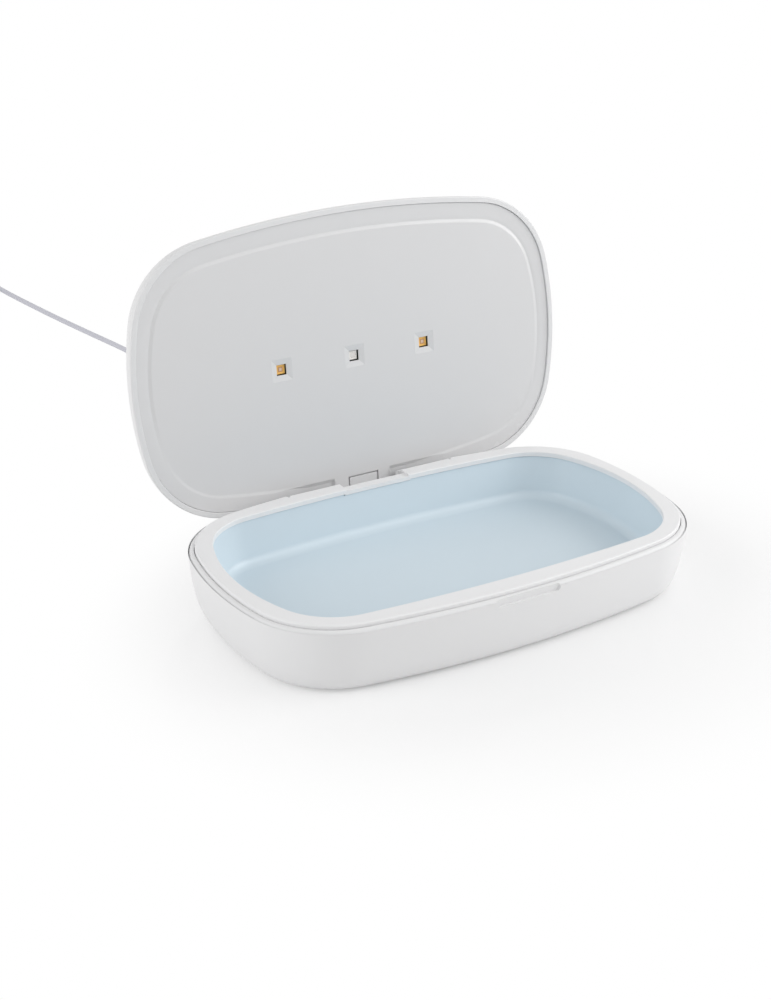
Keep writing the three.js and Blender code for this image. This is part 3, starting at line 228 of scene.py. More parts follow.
LEDGE_Y = ARM_FRONT_Y + LEDGE_DROP
POCKET_FRONT = HINGE_Y - POCKET_SETBACK
LAMP_PLACES = (-LAMP_SPACING, 0, LAMP_SPACING)

# Lid closed to lid as stored: a turn about the hinge
TO_OPEN = (
    Matrix.Translation(Vector((0, HINGE_Y, HINGE_Z)) * MM)
    @ Matrix.Rotation(-OPEN_ANGLE, 4, "X")
    @ Matrix.Translation(Vector((0, -HINGE_Y, -HINGE_Z)) * MM)
)

# Fineness of the arcs and of the base's wall, whose last step is a shorter one
SHORT_STEPS = 8
CORNER_STEPS = 26
LONG_STEPS = 20
WALL_STEPS = 22
LAST_STEP = 0.6

# Size of an end cap's flat middle, as a share of its outline
CAP_SHARE = 0.985


# Camera, placed by fitting the box's outlines in the photograph
CAMERA_LENS = 63.36
CAMERA_SENSOR = 36.0
CAMERA_NEAR = 0.05
CAMERA_AZIMUTH = math.radians(30.397)
CAMERA_ELEVATION = math.radians(24.614)
CAMERA_PLACE = (-0.3704, -0.5833, 0.3608)


def make_camera():
    data = bpy.data.cameras.new("photo_camera")
    data.lens = CAMERA_LENS
    data.sensor_width = CAMERA_SENSOR
    data.sensor_fit = "AUTO"
    data.clip_start = CAMERA_NEAR
    camera = bpy.data.objects.new("photo_camera", data)
    bpy.context.scene.collection.objects.link(camera)
    forward = Vector((
        math.sin(CAMERA_AZIMUTH) * math.cos(CAMERA_ELEVATION),
        math.cos(CAMERA_AZIMUTH) * math.cos(CAMERA_ELEVATION),
        -math.sin(CAMERA_ELEVATION),
    ))
    camera.rotation_mode = "QUATERNION"
    camera.rotation_quaternion = forward.to_track_quat("-Z", "Y")
    camera.location = CAMERA_PLACE
    bpy.context.scene.camera = camera


make_camera()


# Outlines: eight arcs that meet smoothly, as (x, y) points in millimetres
def arc_outline(half_length, half_width, long_radius, short_radius, corner_radius):
    long_centre = Vector((0, half_width - long_radius))
    short_centre = Vector((half_length - short_radius, 0))
    span = (short_centre - long_centre).length
    long_reach = long_radius - corner_radius
    short_reach = short_radius - corner_radius
    along = (long_reach ** 2 - short_reach ** 2 + span ** 2) / (2 * span)
    aside = math.sqrt(long_reach ** 2 - along ** 2)
    toward = (short_centre - long_centre) / span
    corner_centre = long_centre + toward * along + Vector((toward.y, -toward.x)) * aside
    short_line = corner_centre - short_centre
    long_line = corner_centre - long_centre
    short_end = math.atan2(short_line.y, short_line.x)
    long_end = math.atan2(long_line.y, long_line.x)
    quarter = []

    def sweep(centre, radius, start, end, steps):
        for i in range(steps):
            angle = start + (end - start) * i / steps
            quarter.append((centre.x + radius * math.cos(angle), centre.y + radius * math.sin(angle)))

    sweep(short_centre, short_radius, 0, short_end, SHORT_STEPS)
    sweep(corner_centre, corner_radius, short_end, long_end, CORNER_STEPS)
    sweep(long_centre, long_radius, long_end, math.pi / 2, LONG_STEPS)
    half = quarter + [(0, half_width)] + [(-x, y) for x, y in reversed(quarter)]
    return half + [(-x, -y) for x, y in half[1:-1]]


def box_outline(inset):
    return arc_outline(
        LENGTH / 2 - inset, WIDTH / 2 - inset,
        LONG_RADIUS - inset, SHORT_RADIUS - inset, CORNER_RADIUS - inset,
    )


def opening_outline(inset):
    return arc_outline(
        LENGTH / 2 - OPENING_END - inset, WIDTH / 2 - OPENING_SIDE - inset,
        OPENING_LONG - inset, OPENING_SHORT - inset, OPENING_CORNER - inset,
    )


def lid_outline(inset):
    return box_outline(inset - LID_OVERHANG)


def panel_outline(inset):
    outline = arc_outline(
        LENGTH / 2 - PANEL_END - inset, (WIDTH - PANEL_FRONT - PANEL_REAR) / 2 - inset,
        PANEL_LONG - inset, PANEL_SHORT - inset, PANEL_CORNER - inset,
    )
    return [(x, y + (PANEL_FRONT - PANEL_REAR) / 2) for x, y in outline]


# Meshes in millimetres become objects in metres
def new_object(name, vertices, faces):
    mesh = bpy.data.meshes.new(name)
    mesh.from_pydata([(x * MM, y * MM, z * MM) for x, y, z in vertices], [], faces)
    mesh.validate()
    item = bpy.data.objects.new(name, mesh)
    bpy.context.scene.collection.objects.link(item)
    return item


def eased(share):
    """A share between nothing and one, with soft ends."""
    share = min(max(share, 0), 1)
    return share * share * (3 - 2 * share)


def quarter_turns(steps):
    """Angles from nothing to a quarter turn."""
    return [math.pi / 2 * i / steps for i in range(steps + 1)]


def rounded_steps(radius, steps=5):
    """Offsets (inwards, downwards) from a sharp corner along a quarter round."""
    return [(radius * (1 - math.cos(t)), radius * (1 - math.sin(t))) for t in quarter_turns(steps)]


def strip(low, high, count):
    """Faces between two closed rows of points, given by the numbers of their first points."""
    pairs = [(j, (j + 1) % count) for j in range(count)]
    return [(low + j, low + k, high + k, high + j) for j, k in pairs]


def height_at(z, y):
    return z(y) if callable(z) else z


def loft(name, sections, ring=False):
    """A skin through outlines, each at a height that may be a number or depend on y."""
    vertices = []
    for outline, z in sections:
        vertices += [(x, y, height_at(z, y)) for x, y in outline]
    count = len(sections[0][0])
    rows = len(sections)
    faces = []
    for i in range(rows if ring else rows - 1):
        faces += strip(i * count, (i + 1) % rows * count, count)
    if not ring:
        for row, flip in ((0, True), (rows - 1, False)):
            outline, z = sections[row]
            inner = len(vertices)
            vertices += [(x * CAP_SHARE, y * CAP_SHARE, height_at(z, y * CAP_SHARE)) for x, y in outline]
            cap = strip(row * count, inner, count) + [tuple(range(inner, inner + count))]
            faces += [face[::-1] for face in cap] if flip else cap
    return new_object(name, vertices, faces)


def block(name, x0, x1, y0, y1, z0, z1):
    vertices = [(x, y, z) for z in (z0, z1) for y in (y0, y1) for x in (x0, x1)]
    faces = [(0, 2, 3, 1), (4, 5, 7, 6), (0, 1, 5, 4), (2, 6, 7, 3), (0, 4, 6, 2), (1, 3, 7, 5)]
    return new_object(name, vertices, faces)


def prism(name, outline, low, high, axis):
    """A flat outline drawn out along an axis: X takes (y, z) points, Y takes (x, z), Z takes (x, y)."""
    put = {
        "X": lambda point, depth: (depth, point[0], point[1]),
        "Y": lambda point, depth: (point[0], depth, point[1]),
        "Z": lambda point, depth: (point[0], point[1], depth),
    }[axis]
    count = len(outline)
    vertices = [put(p, low) for p in outline] + [put(p, high) for p in outline]
    faces = [tuple(reversed(range(count))), tuple(range(count, 2 * count))] + strip(0, count, count)
    item = new_object(name, vertices, faces)
    outward(item)
    return item


def outward(item):
    """Turn every face of a closed mesh outwards."""
    work = bmesh.new()
    work.from_mesh(item.data)
    bmesh.ops.recalc_face_normals(work, faces=work.faces)
    work.to_mesh(item.data)
    work.free()


def circle(centre, radius, steps):
    """Points of a circle in its own plane."""
    angles = [2 * math.pi * i / steps for i in range(steps)]
    return [(centre[0] + radius * math.cos(a), centre[1] + radius * math.sin(a)) for a in angles]


def disc(name, x, y, z0, z1, radius, steps=48):
    return prism(name, circle((x, y), radius, steps), z0, z1, "Z")


def rod(name, x0, x1, y, z, radius, steps=48):
    return prism(name, circle((y, z), radius, steps), x0, x1, "X")


def rounded_rectangle(centre, width, height, radius, steps=8):
    points = []
    corners = ((1, -1, -90), (1, 1, 0), (-1, 1, 90), (-1, -1, 180))
    for sx, sy, start in corners:
        cx = centre[0] + sx * (width / 2 - radius)
        cy = centre[1] + sy * (height / 2 - radius)
        for i in range(steps + 1):
            angle = math.radians(start + 90 * i / steps)
            points.append((cx + radius * math.cos(angle), cy + radius * math.sin(angle)))
    return points


def revolve(name, profile, centre, axis="Z", steps=64):
    """A closed body of revolution from (radius, height) points whose ends lie on the axis."""
    vertices = []
    rows = []
    for radius, height in profile:
        start = len(vertices)
        if radius < 1e-9:
            vertices.append((0, 0, height))
            rows.append([start] * steps)
            continue
        vertices += [(x, y, height) for x, y in circle((0, 0), radius, steps)]
        rows.append([start + i for i in range(steps)])
    faces = []
    for low, high in zip(rows, rows[1:]):
        for i in range(steps):
            k = (i + 1) % steps
            corners = list(dict.fromkeys((low[i], low[k], high[k], high[i])))
            if len(corners) > 2:
                faces.append(corners)
    turned = {"Z": lambda v: v, "Y": lambda v: (v[0], v[2], -v[1])}[axis]
    placed = [tuple(a + b for a, b in zip(turned(v), centre)) for v in vertices]
    item = new_object(name, placed, faces)
    outward(item)
    return item


def bake(item):
    """Replace an object's mesh by what its modifiers make."""
    graph = bpy.context.evaluated_depsgraph_get()
    made = bpy.data.meshes.new_from_object(item.evaluated_get(graph))
    item.modifiers.clear()
    item.data = made


def boolean(item, tools, operation):
    for tool in tools:
        step = item.modifiers.new(operation.lower(), "BOOLEAN")
        step.operation = operation
        step.solver = "MANIFOLD"
        step.object = tool
    bpy.context.view_layer.update()
    bake(item)
    for tool in tools:
        bpy.data.objects.remove(tool)
    return item


def cut(item, tools):
    boolean(item, tools, "DIFFERENCE")


def join(item, tools):
    boolean(item, tools, "UNION")


def ease(item, width=0.2, angle=32, segments=2, crease=28):
    """Round the sharp edges a little, and shade the curved faces smoothly."""
    bevel = item.modifiers.new("bevel", "BEVEL")
    bevel.width = width * MM
    bevel.segments = segments
    bevel.limit_method = "ANGLE"
    bevel.angle_limit = math.radians(angle)
    bpy.context.view_layer.update()
    bake(item)
    smooth(item, crease)


def smooth(item, angle=28):
    item.data.shade_smooth()
    item.data.set_sharp_from_angle(angle=math.radians(angle))
    weight = item.modifiers.new("weight", "WEIGHTED_NORMAL")
    weight.keep_sharp = True
    return item


def dress(item, body, material, slot, *nodes):
    """Give a piece its material and its body, and hide the solids that it stands for. Its slot is not used.
    """
    item.data.materials.clear()
    item.data.materials.append(material)
    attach(item, body)
    if nodes:
        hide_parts(*nodes)


def open_lid(item):
    item.data.transform(TO_OPEN)
    return item


# Materials
NOISE_LOW = 0.1
NOISE_HIGH = 0.9
FLOW_SCALE = 14.0
GLOSS_SCALE = 55.0
GRAIN_SCALE = 2600.0


def node_material(name):
    material = bpy.data.materials.new(name)
    material.use_nodes = True
    tree = material.node_tree
    return material, tree, tree.nodes["Principled BSDF"]


def object_noise(tree, scale, detail=2.0):
    coordinates = tree.nodes.new("ShaderNodeTexCoord")
    noise = tree.nodes.new("ShaderNodeTexNoise")
    noise.inputs["Scale"].default_value = scale
    noise.inputs["Detail"].default_value = detail
    tree.links.new(coordinates.outputs["Object"], noise.inputs["Vector"])
    return noise


def vary(tree, source, target, low, high):
    """Drive a value from a noise, between two limits."""
    span = tree.nodes.new("ShaderNodeMapRange")
    span.inputs["From Min"].default_value = NOISE_LOW
    span.inputs["From Max"].default_value = NOISE_HIGH
    span.inputs["To Min"].default_value = low
    span.inputs["To Max"].default_value = high
    tree.links.new(source.outputs[0], span.inputs["Value"])
    tree.links.new(span.outputs["Result"], target)


def tint(tree, source, target, first, second):
    """Mix two near colours by a noise."""
    ramp = tree.nodes.new("ShaderNodeValToRGB")
    ramp.color_ramp.elements[0].position = NOISE_LOW
    ramp.color_ramp.elements[0].color = (*first, 1)
    ramp.color_ramp.elements[1].position = NOISE_HIGH
    ramp.color_ramp.elements[1].color = (*second, 1)
    tree.links.new(source.outputs[0], ramp.inputs["Fac"])
    tree.links.new(ramp.outputs["Color"], target)


def grain(tree, shader, scale, distance, strength=0.5):
    """Fine surface relief."""
    noise = object_noise(tree, scale, 3.0)
    bump = tree.nodes.new("ShaderNodeBump")
    bump.inputs["Strength"].default_value = strength
    bump.inputs["Distance"].default_value = distance
    tree.links.new(noise.outputs[0], bump.inputs["Height"])
    tree.links.new(bump.outputs["Normal"], shader.inputs["Normal"])


def moulded(name, colour, roughness, spread=0.03, depth=0.00001, metallic=0.0, glow=0.0):
    """A plastic or metal with faint variation in colour and gloss, and a fine grain."""
    material, tree, shader = node_material(name)
    shader.inputs["Metallic"].default_value = metallic
    shader.inputs["Subsurface Weight"].default_value = glow
    shader.inputs["Subsurface Radius"].default_value = (0.6, 0.65, 0.7)
    shader.inputs["Subsurface Scale"].default_value = 0.002
    darker = tuple(c * (1 - spread / 3) for c in colour)
    tint(tree, object_noise(tree, FLOW_SCALE), shader.inputs["Base Color"], darker, colour)
    gloss = object_noise(tree, GLOSS_SCALE)
    vary(tree, gloss, shader.inputs["Roughness"], roughness - spread, roughness + spread)
    grain(tree, shader, GRAIN_SCALE, depth)
    return material


white = moulded("white_moulding", (0.80, 0.80, 0.805), 0.36)
# The bezel is the base's white plastic made lighter: painted light
bezel_painted_light = moulded("bezel_moulding_painted_light", (0.84, 0.84, 0.845), 0.33)
# The lid shell and the button are the same white plastic made darker: painted shade
lid_painted_shade = moulded("lid_moulding_painted_shade", (0.75, 0.75, 0.755), 0.34)
# The liner and the wire cover are a white plastic like the shell's made darker still: painted shade on the
# lid's inside
liner_painted_shade = moulded("liner_moulding_painted_shade", (0.70, 0.698, 0.703), 0.26, spread=0.02)
tray_tint = moulded("tray_moulding", (0.64, 0.735, 0.795), 0.34)
rubber = moulded("rubber", (0.25, 0.255, 0.26), 0.8, spread=0.06, depth=0.00004)
jacket = moulded("cable_jacket", (0.62, 0.62, 0.68), 0.45)
plug_white = moulded("plug_moulding", (0.74, 0.74, 0.76), 0.5, depth=0.00003)
black = moulded("black_moulding", (0.03, 0.03, 0.033), 0.5)
wire = moulded("wire_jacket", (0.6, 0.6, 0.61), 0.55)
steel = moulded("plated_steel", (0.62, 0.62, 0.63), 0.3, metallic=1.0)
nickel = moulded("plated_shell", (0.7, 0.7, 0.71), 0.24, metallic=1.0)
guide = moulded("light_guide", (0.74, 0.79, 0.84), 0.2, glow=0.3)
gold = moulded("lamp_gold", (1.0, 0.62, 0.17), 0.3, spread=0.04)
gold_frame = moulded("lamp_frame", (0.62, 0.33, 0.16), 0.4, spread=0.04)
die = moulded("lamp_die", (0.80, 0.60, 0.46), 0.25)
ceramic = moulded("lamp_ceramic", (0.98, 0.95, 0.91), 0.35)
lens = moulded("lamp_lens", (0.86, 0.83, 0.80), 0.12)
board_green = moulded("board_mask", (0.05, 0.2, 0.11), 0.45)
# The lamp board is black, so what shows of it round each lamp is dark
dark_board = moulded("dark_lamp_board", (0.012, 0.012, 0.013), 0.5)
glass = moulded("sensor_glass", (0.4, 0.55, 0.46), 0.1)


# The lead: one curve through the run, the coil and the tail, in the part's own points
CORD_DIAMETER = 3.0
COIL_X = -45.6
COIL_Y = 544.6
COIL_RADIUS = 16.0
COIL_PITCH = 3.5
COIL_TURNS = 4.5
COIL_STEPS = 24
CLIMB_HALF_TURN = 0.25
TIE_THICKNESS = 0.8
COIL_LOW = TIE_THICKNESS + GAP + CORD_DIAMETER / 2
TAIL_LENGTH = 15.0
TAIL_SHARES = (0.3, 0.6, 1.0)
PLUG_CENTRE = 4.3
RUN = [
    (0, 99.77, 10.8), (0, 104.97, 10.75), (0.1, 113.97, 9.88), (0.3, 121.97, 8.04), (0.6, 129.97, 5.46),
    (1, 137.97, 3.35), (1.5, 145.97, 1.97), (2.2, 155.97, 1.6), (4.3, 179.97, 1.6), (6.6, 209.97, 1.6),
    (8.2, 244.97, 1.6), (7.9, 279.97, 1.6), (5.6, 317.97, 1.6), (1, 359.97, 1.6), (-5.6, 395.97, 1.6),
    (-12.5, 433.97, 1.6), (-18.6, 471.97, 1.6), (-23.2, 503.97, 1.69), (-25.3, 521.97, 2.06),
    (-26, 535.97, 2.52),
]


def coil_points():
    """Two flat layers of turns, the first wound inwards and the second outwards."""
    outer = COIL_RADIUS + COIL_PITCH * COIL_TURNS / 4 - COIL_PITCH / 8
    middle = COIL_TURNS / 2
    points = []
    for i in range(round(COIL_TURNS * COIL_STEPS) + 1):
        turns = i / COIL_STEPS
        radius = outer - COIL_PITCH * (middle - abs(turns - middle))
        climb = eased((turns - middle + CLIMB_HALF_TURN) / (2 * CLIMB_HALF_TURN))
        angle = 2 * math.pi * turns
        points.append((
            COIL_X + radius * math.cos(angle),
            COIL_Y + radius * math.sin(angle),
            COIL_LOW + COIL_PITCH * climb,
        ))
    return points


def lead_points():
    coil = coil_points()
    last = coil[-1]
    tail = []
    for share in TAIL_SHARES:
        tail.append((last[0], last[1] - TAIL_LENGTH * share, last[2] + (PLUG_CENTRE - last[2]) * share))
    return RUN + coil + tail


def tube_curve(name, points, radius, material):
    data = bpy.data.curves.new(name, "CURVE")
    data.dimensions = "3D"
    data.bevel_depth = radius * MM
    data.bevel_resolution = 5
    data.use_fill_caps = True
    data.resolution_u = 4
    data.twist_mode = "MINIMUM"
    line = data.splines.new("POLY")
    line.points.add(len(points) - 1)
    for point, place in zip(line.points, points):
        point.co = (place[0] * MM, place[1] * MM, place[2] * MM, 1)
    line.use_smooth = True
    data.materials.append(material)
    item = bpy.data.objects.new(name, data)
    bpy.context.scene.collection.objects.link(item)
    return item


def smooth_path(points, steps=5):
    """Centripetal Catmull-Rom points through the chosen ones."""
    def knot(t, a, b):
        return t + math.sqrt((b - a).length)

    def blend(a, b, start, end, t):
        return a * ((end - t) / (end - start)) + b * ((t - start) / (end - start))

    ends = [
        tuple(2 * p - q for p, q in zip(points[0], points[1])),
        *points,
        tuple(2 * p - q for p, q in zip(points[-1], points[-2])),
    ]
    made = []
    for i in range(1, len(ends) - 2):
        p0, p1, p2, p3 = (Vector(p) for p in ends[i - 1:i + 3])
        t0 = 0.0
        t1 = knot(t0, p0, p1)
        t2 = knot(t1, p1, p2)
        t3 = knot(t2, p2, p3)
        for k in range(steps):
            t = t1 + (t2 - t1) * k / steps
            a1 = blend(p0, p1, t0, t1, t)
            a2 = blend(p1, p2, t1, t2, t)
            a3 = blend(p2, p3, t2, t3, t)
            b1 = blend(a1, a2, t0, t2, t)
            b2 = blend(a2, a3, t1, t3, t)
            made.append(tuple(blend(b1, b2, t1, t2, t)))
    made.append(points[-1])
    return made


def make_lead():
    points = smooth_path(lead_points())
    lead = tube_curve("power_lead", points, CORD_DIAMETER / 2, jacket)
    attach(lead, "base")
    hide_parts("lead_run", "lead_coil")


make_lead()


# Base shell
def bent_wall(turn, taper, bend, tuck):
    """Share of a wall's height, and its inset there, for a turn from nothing to a quarter."""
    return math.sin(turn) ** (2 / bend), taper * (1 - math.cos(turn) ** (2 / tuck))


def base_inset(z):
    share = min((PARTING - z) / (PARTING - FOOT_HEIGHT), 1)
    return WALL_TAPER * (1 - (1 - share ** WALL_BEND) ** (1 / WALL_TUCK))


FEET = [(sx * FOOT_X, sy * FOOT_Y) for sx in (-1, 1) for sy in (-1, 1)]
FOOT_RECESS = FOOT_THICKNESS + GAP
SCREW_SEAT = FOOT_RECESS + SCREW_HEAD_HEIGHT + 2 * GAP
SOCKET_Z = BOARD_HEIGHT + BOARD_THICKNESS + GAP + SOCKET_HEIGHT / 2
NOTCH_FLOOR = HINGE_Z - KNUCKLE_RADIUS - 3 * GAP
BOARD_Y = WIDTH / 2 - BOARD_INSET - BOARD_WIDTH / 2


def base_sections():
    """Outer wall from the bottom up, shoulder, inner wall from the top down, floor."""
    sections = []
    for i in range(WALL_STEPS):
        turn = math.pi / 2 * (1 - i / (WALL_STEPS + LAST_STEP))
        share, inset = bent_wall(turn, WALL_TAPER, WALL_BEND, WALL_TUCK)
        sections.append((box_outline(inset), PARTING - share * (PARTING - FOOT_HEIGHT)))
    start = base_inset(PARTING - SHOULDER_DROP)
    for turn in quarter_turns(10):
        inset = start + (SHOULDER_INSET - start) * (1 - math.cos(turn))
        sections.append((box_outline(inset), PARTING - SHOULDER_DROP * (1 - math.sin(turn))))
    inner_steps = 8
    for i in range(inner_steps + 1):
        z = PARTING - (PARTING - FLOOR_TOP - FLOOR_RADIUS) * i / inner_steps
        sections.append((box_outline(base_inset(z) + WALL), z))
    sections.append((box_outline(base_inset(FLOOR_TOP) + WALL + FLOOR_RADIUS), FLOOR_TOP))
    return sections


def hinge_rooms(top, rear):
    """Room for the knuckle in the middle and for an ear on each side of it."""
    ear_rear = HINGE_Y + BARREL_RADIUS - GAP
    ear_room = [
        (HINGE_Y - HINGE_INSET, NOTCH_FLOOR),
        (ear_rear - EAR_ROOM_SLOPE, NOTCH_FLOOR),
        (ear_rear, NOTCH_FLOOR + EAR_ROOM_RISE),
        (ear_rear, top),
        (HINGE_Y - HINGE_INSET, top),
    ]
    tools = [block("tool", -NOTCH_END, NOTCH_END, ARM_FRONT_Y - HINGE_INSET, rear, NOTCH_FLOOR, top)]
    for side in (-1, 1):
        ends = sorted((side * (NOTCH_END - OVERRUN), side * (EAR_END + HINGE_GAP)))
        tools.append(prism("tool", ear_room, *ends, "X"))
    return tools


def base_shell():
    shell = loft("base_shell_skin", base_sections())
    tools = []
    for x, y in FEET:
        tools.append(disc("tool", x, y, -OVERRUN, FOOT_RECESS, FOOT_RADIUS + GAP, 72))
        tools.append(disc("tool", x, y, 0, SCREW_SEAT, SCREW_HEAD + GAP))
    top = PARTING + OVERRUN
    rear = WIDTH / 2
    tools += hinge_rooms(top, rear + OVERRUN)
    hole_size = (SOCKET_WIDTH + 2 * GAP, SOCKET_HEIGHT + 2 * GAP)
    hole = rounded_rectangle((0, SOCKET_Z), *hole_size, SOCKET_RADIUS + GAP)
    tools.append(prism("tool", hole, BOARD_Y, rear + OVERRUN, "Y"))
    bottom = PARTING - RECESS_HEIGHT
    recess = rounded_rectangle((0, (top + bottom) / 2), RECESS_LENGTH, top - bottom, RECESS_RADIUS)
    tools.append(prism("tool", recess, -rear - OVERRUN, -rear + RECESS_DEPTH, "Y"))
    cut(shell, tools)
    ease(shell, 0.18)
    dress(shell, "base", white, "white_plastic", "base_shell")


base_shell()


# Bezel with its hinge ears
def bezel_tab():
    low, high = STRIP_BOTTOM - TAB_DROP, STRIP_BOTTOM + TAB_RISE
    tab = loft("tool", [
        (box_outline(SKIRT_THICKNESS), low),
        (box_outline(SKIRT_THICKNESS), high),
        (opening_outline(0), high),
        (opening_outline(0), low),
    ], ring=True)
    end = NOTCH_END + TAB_BITE
    rear = min(ARM_FRONT_Y, HINGE_Y - KNUCKLE_RADIUS) - GAP
    return boolean(tab, [block("tool", -end, end, 0, rear, 0, CLOSED_HEIGHT)], "INTERSECT")


def bezel_ring(skirt):
    """The ring in section: outer face, top with its two rounds, opening and the step under it."""
    side = WALL + GAP
    sections = [(box_outline(side), skirt)]
    for inward, down in rounded_steps(BEZEL_OUTER):
        sections.append((box_outline(side + inward), BEZEL_TOP - down))
    for inward, down in reversed(rounded_steps(BEZEL_INNER)):
        sections.append((opening_outline(-inward), BEZEL_TOP - down))
    sections.append((opening_outline(0), STRIP_BOTTOM))
    sections.append((box_outline(side + SKIRT_THICKNESS), STRIP_BOTTOM))
    sections.append((box_outline(side + SKIRT_THICKNESS), skirt))
    return loft("bezel_skin", sections, ring=True)


def hinge_ears(skirt):
    """The two ears that hold the pins, round below and joined to the ring in front."""
    profile = []
    steps = 24
    for i in range(steps + 1):
        angle = math.pi + math.pi * i / steps
        profile.append((HINGE_Y + BARREL_RADIUS * math.cos(angle), HINGE_Z + BARREL_RADIUS * math.sin(angle)))
    middle = (STRIP_BOTTOM + BEZEL_TOP) / 2
    profile += [
        (HINGE_Y + BARREL_RADIUS, skirt - GAP),
        (EAR_REAR - GAP, skirt - GAP),
        (EAR_REAR - GAP, middle),
        (HINGE_Y - BARREL_RADIUS, middle),
    ]
    ears = []
    for way in (-1, 1):
        ends = sorted((way * (NOTCH_END - OVERRUN), way * (EAR_END - GAP)))
        ears.append(prism("tool", profile, *ends, "X"))
    return ears


def bezel():
    skirt = STRIP_BOTTOM - SKIRT_DEPTH
    top = BEZEL_TOP + OVERRUN
    rear = WIDTH / 2
    ring = bezel_ring(skirt)
    cut(ring, [block("tool", -EAR_END, EAR_END, EAR_REAR, rear, skirt - OVERRUN, top)])
    join(ring, hinge_ears(skirt))
    cut(ring, [block("tool", -NOTCH_END, NOTCH_END, 0, rear, 0, top)])
    join(ring, [bezel_tab()])
    tools = []
    half = EAR_SLOT / 2
    for way in (-1, 1):
        ends = sorted((way * (NOTCH_END - OVERRUN), way * (NOTCH_END + PIN_LENGTH / 2 + GAP)))
        tools.append(rod("tool", *ends, HINGE_Y, HINGE_Z, PIN_RADIUS + PIN_CLEARANCE, 32))
        x = way * (EAR_END - EAR_SLOT)
        front = EAR_REAR - EAR_SLOT
        tools.append(block("tool", x - half, x + half, front, EAR_REAR + OVERRUN, STRIP_BOTTOM + GAP, top))
    cut(ring, tools)
    ease(ring, 0.16)
    dress(ring, "base", bezel_painted_light, "white_plastic", "base_bezel")


bezel()


# Tray
def tray():
    outer = TRAY_RADIUS + TRAY_WALL
    fillet_z = TRAY_FLOOR + TRAY_RADIUS
    fillet = TRAY_TAPER - TRAY_SETBACK + TRAY_RADIUS
    turns = quarter_turns(12)
    sections = []
    for turn in reversed(turns):
        sections.append((opening_outline(fillet - outer * math.cos(turn)), fillet_z - outer * math.sin(turn)))
    flange = -TRAY_SETBACK - TRAY_FLANGE
    sections += [
        (opening_outline(-TRAY_SETBACK - TRAY_WALL), FLANGE_BOTTOM),
        (opening_outline(flange), FLANGE_BOTTOM),
        (opening_outline(flange), TRAY_TOP),
        (opening_outline(-TRAY_SETBACK), TRAY_TOP),
    ]
    for turn in turns:
        inset = fillet - TRAY_RADIUS * math.cos(turn)
        sections.append((opening_outline(inset), fillet_z - TRAY_RADIUS * math.sin(turn)))
    bowl = loft("tray_skin", sections)
    seat_end = NOTCH_END + TAB_BITE + GAP
    seat_z = STRIP_BOTTOM - TAB_DROP - GAP
    cut(bowl, [block("tool", -seat_end, seat_end, 0, WIDTH / 2, seat_z, TRAY_TOP + OVERRUN)])
    post_z = SCREW_SEAT + SCREW_SEAT_THICKNESS + GAP
    posts = [disc("tool", x, y, post_z, TRAY_FLOOR - TRAY_WALL / 2, POST_RADIUS, 32) for x, y in FEET]
    join(bowl, posts)
    ease(bowl, 0.15)
    dress(bowl, "base", tray_tint, "tray_plastic", "tray")


tray()


# Lid shell
def lid_shell():
    sections = []
    for turn in reversed(quarter_turns(10)[1:]):
        share, inset = bent_wall(turn, DOME_INNER_TAPER, DOME_BEND, DOME_TUCK)
        sections.append((lid_outline(LIP_WIDTH + inset), DOME_START + share * (CEILING - DOME_START)))
    sections.append((lid_outline(LIP_WIDTH), DOME_START))
    sections.append((lid_outline(LIP_WIDTH), LIP_Z + LIP_CHAMFER))
    for outward_by, up in rounded_steps(LIP_CHAMFER)[1:]:
        sections.append((lid_outline(LIP_WIDTH - outward_by), LIP_Z + up))
    for up, inset in rounded_steps(LIP_EDGE, 6)[:-1]:
        sections.append((lid_outline(inset), LIP_Z + up))
    start = LIP_Z + LIP_EDGE
    for turn in quarter_turns(30):
        share, inset = bent_wall(turn, DOME_TAPER, DOME_BEND, DOME_TUCK)
        sections.append((lid_outline(inset), start + share * (CLOSED_HEIGHT - start)))
    shell = loft("lid_shell_skin", sections)
    hole = BUTTON_RADIUS + GAP + RING_WIDTH + GAP
    cut(shell, [disc("tool", 0, -BUTTON_SETBACK, CEILING - OVERRUN, CLOSED_HEIGHT + OVERRUN, hole, 96)])
    ease(shell, 0.15)
    open_lid(shell)
    dress(shell, "lid", lid_painted_shade, "white_plastic", "lid_shell")


lid_shell()


# Lid liner
def panel_z(y):
    """The panel leans a little: it lies deeper in the lid towards the hinge."""
    return PANEL_Z + PANEL_LEAN * (y + WIDTH / 2 - PANEL_FRONT) / (WIDTH - PANEL_FRONT - PANEL_REAR)


def band_z(y):
    """The band round the panel comes forward towards the hinge."""
    return BAND_Z - BAND_DROP_FRONT - (BAND_DROP_REAR - BAND_DROP_FRONT) * eased(y / BAND_EASE)


def between(rise):
    """Height of the slope from the panel up to the band, at a share of its rise."""
    return lambda y: panel_z(y) + (band_z(y) - panel_z(y)) * rise


def band_dish(y):
    """Part of the way down from the band's inner edge to the bottom of its dish."""
    return band_z(y) + (BAND_Z - BAND_DISH - band_z(y)) * DISH_SHARE


def liner_plate():
    sections = []
    slope_steps = 12
    for i in range(slope_steps + 1):
        share = i / slope_steps
        sections.append((panel_outline(-PANEL_SLOPE * share), between(eased(share))))
    sections += [
        (panel_outline(-PANEL_SLOPE - DISH_RUN), band_dish),
        (lid_outline(LINER_INSET), BAND_Z - BAND_DISH),
        (lid_outline(LINER_INSET), LINER_TOP),
        (panel_outline(BAND_THICKNESS / 2 - PANEL_SLOPE), LINER_TOP),
        (panel_outline(BAND_THICKNESS / 2), PANEL_Z + BAND_THICKNESS),
    ]
    return loft("lid_liner_skin", sections)


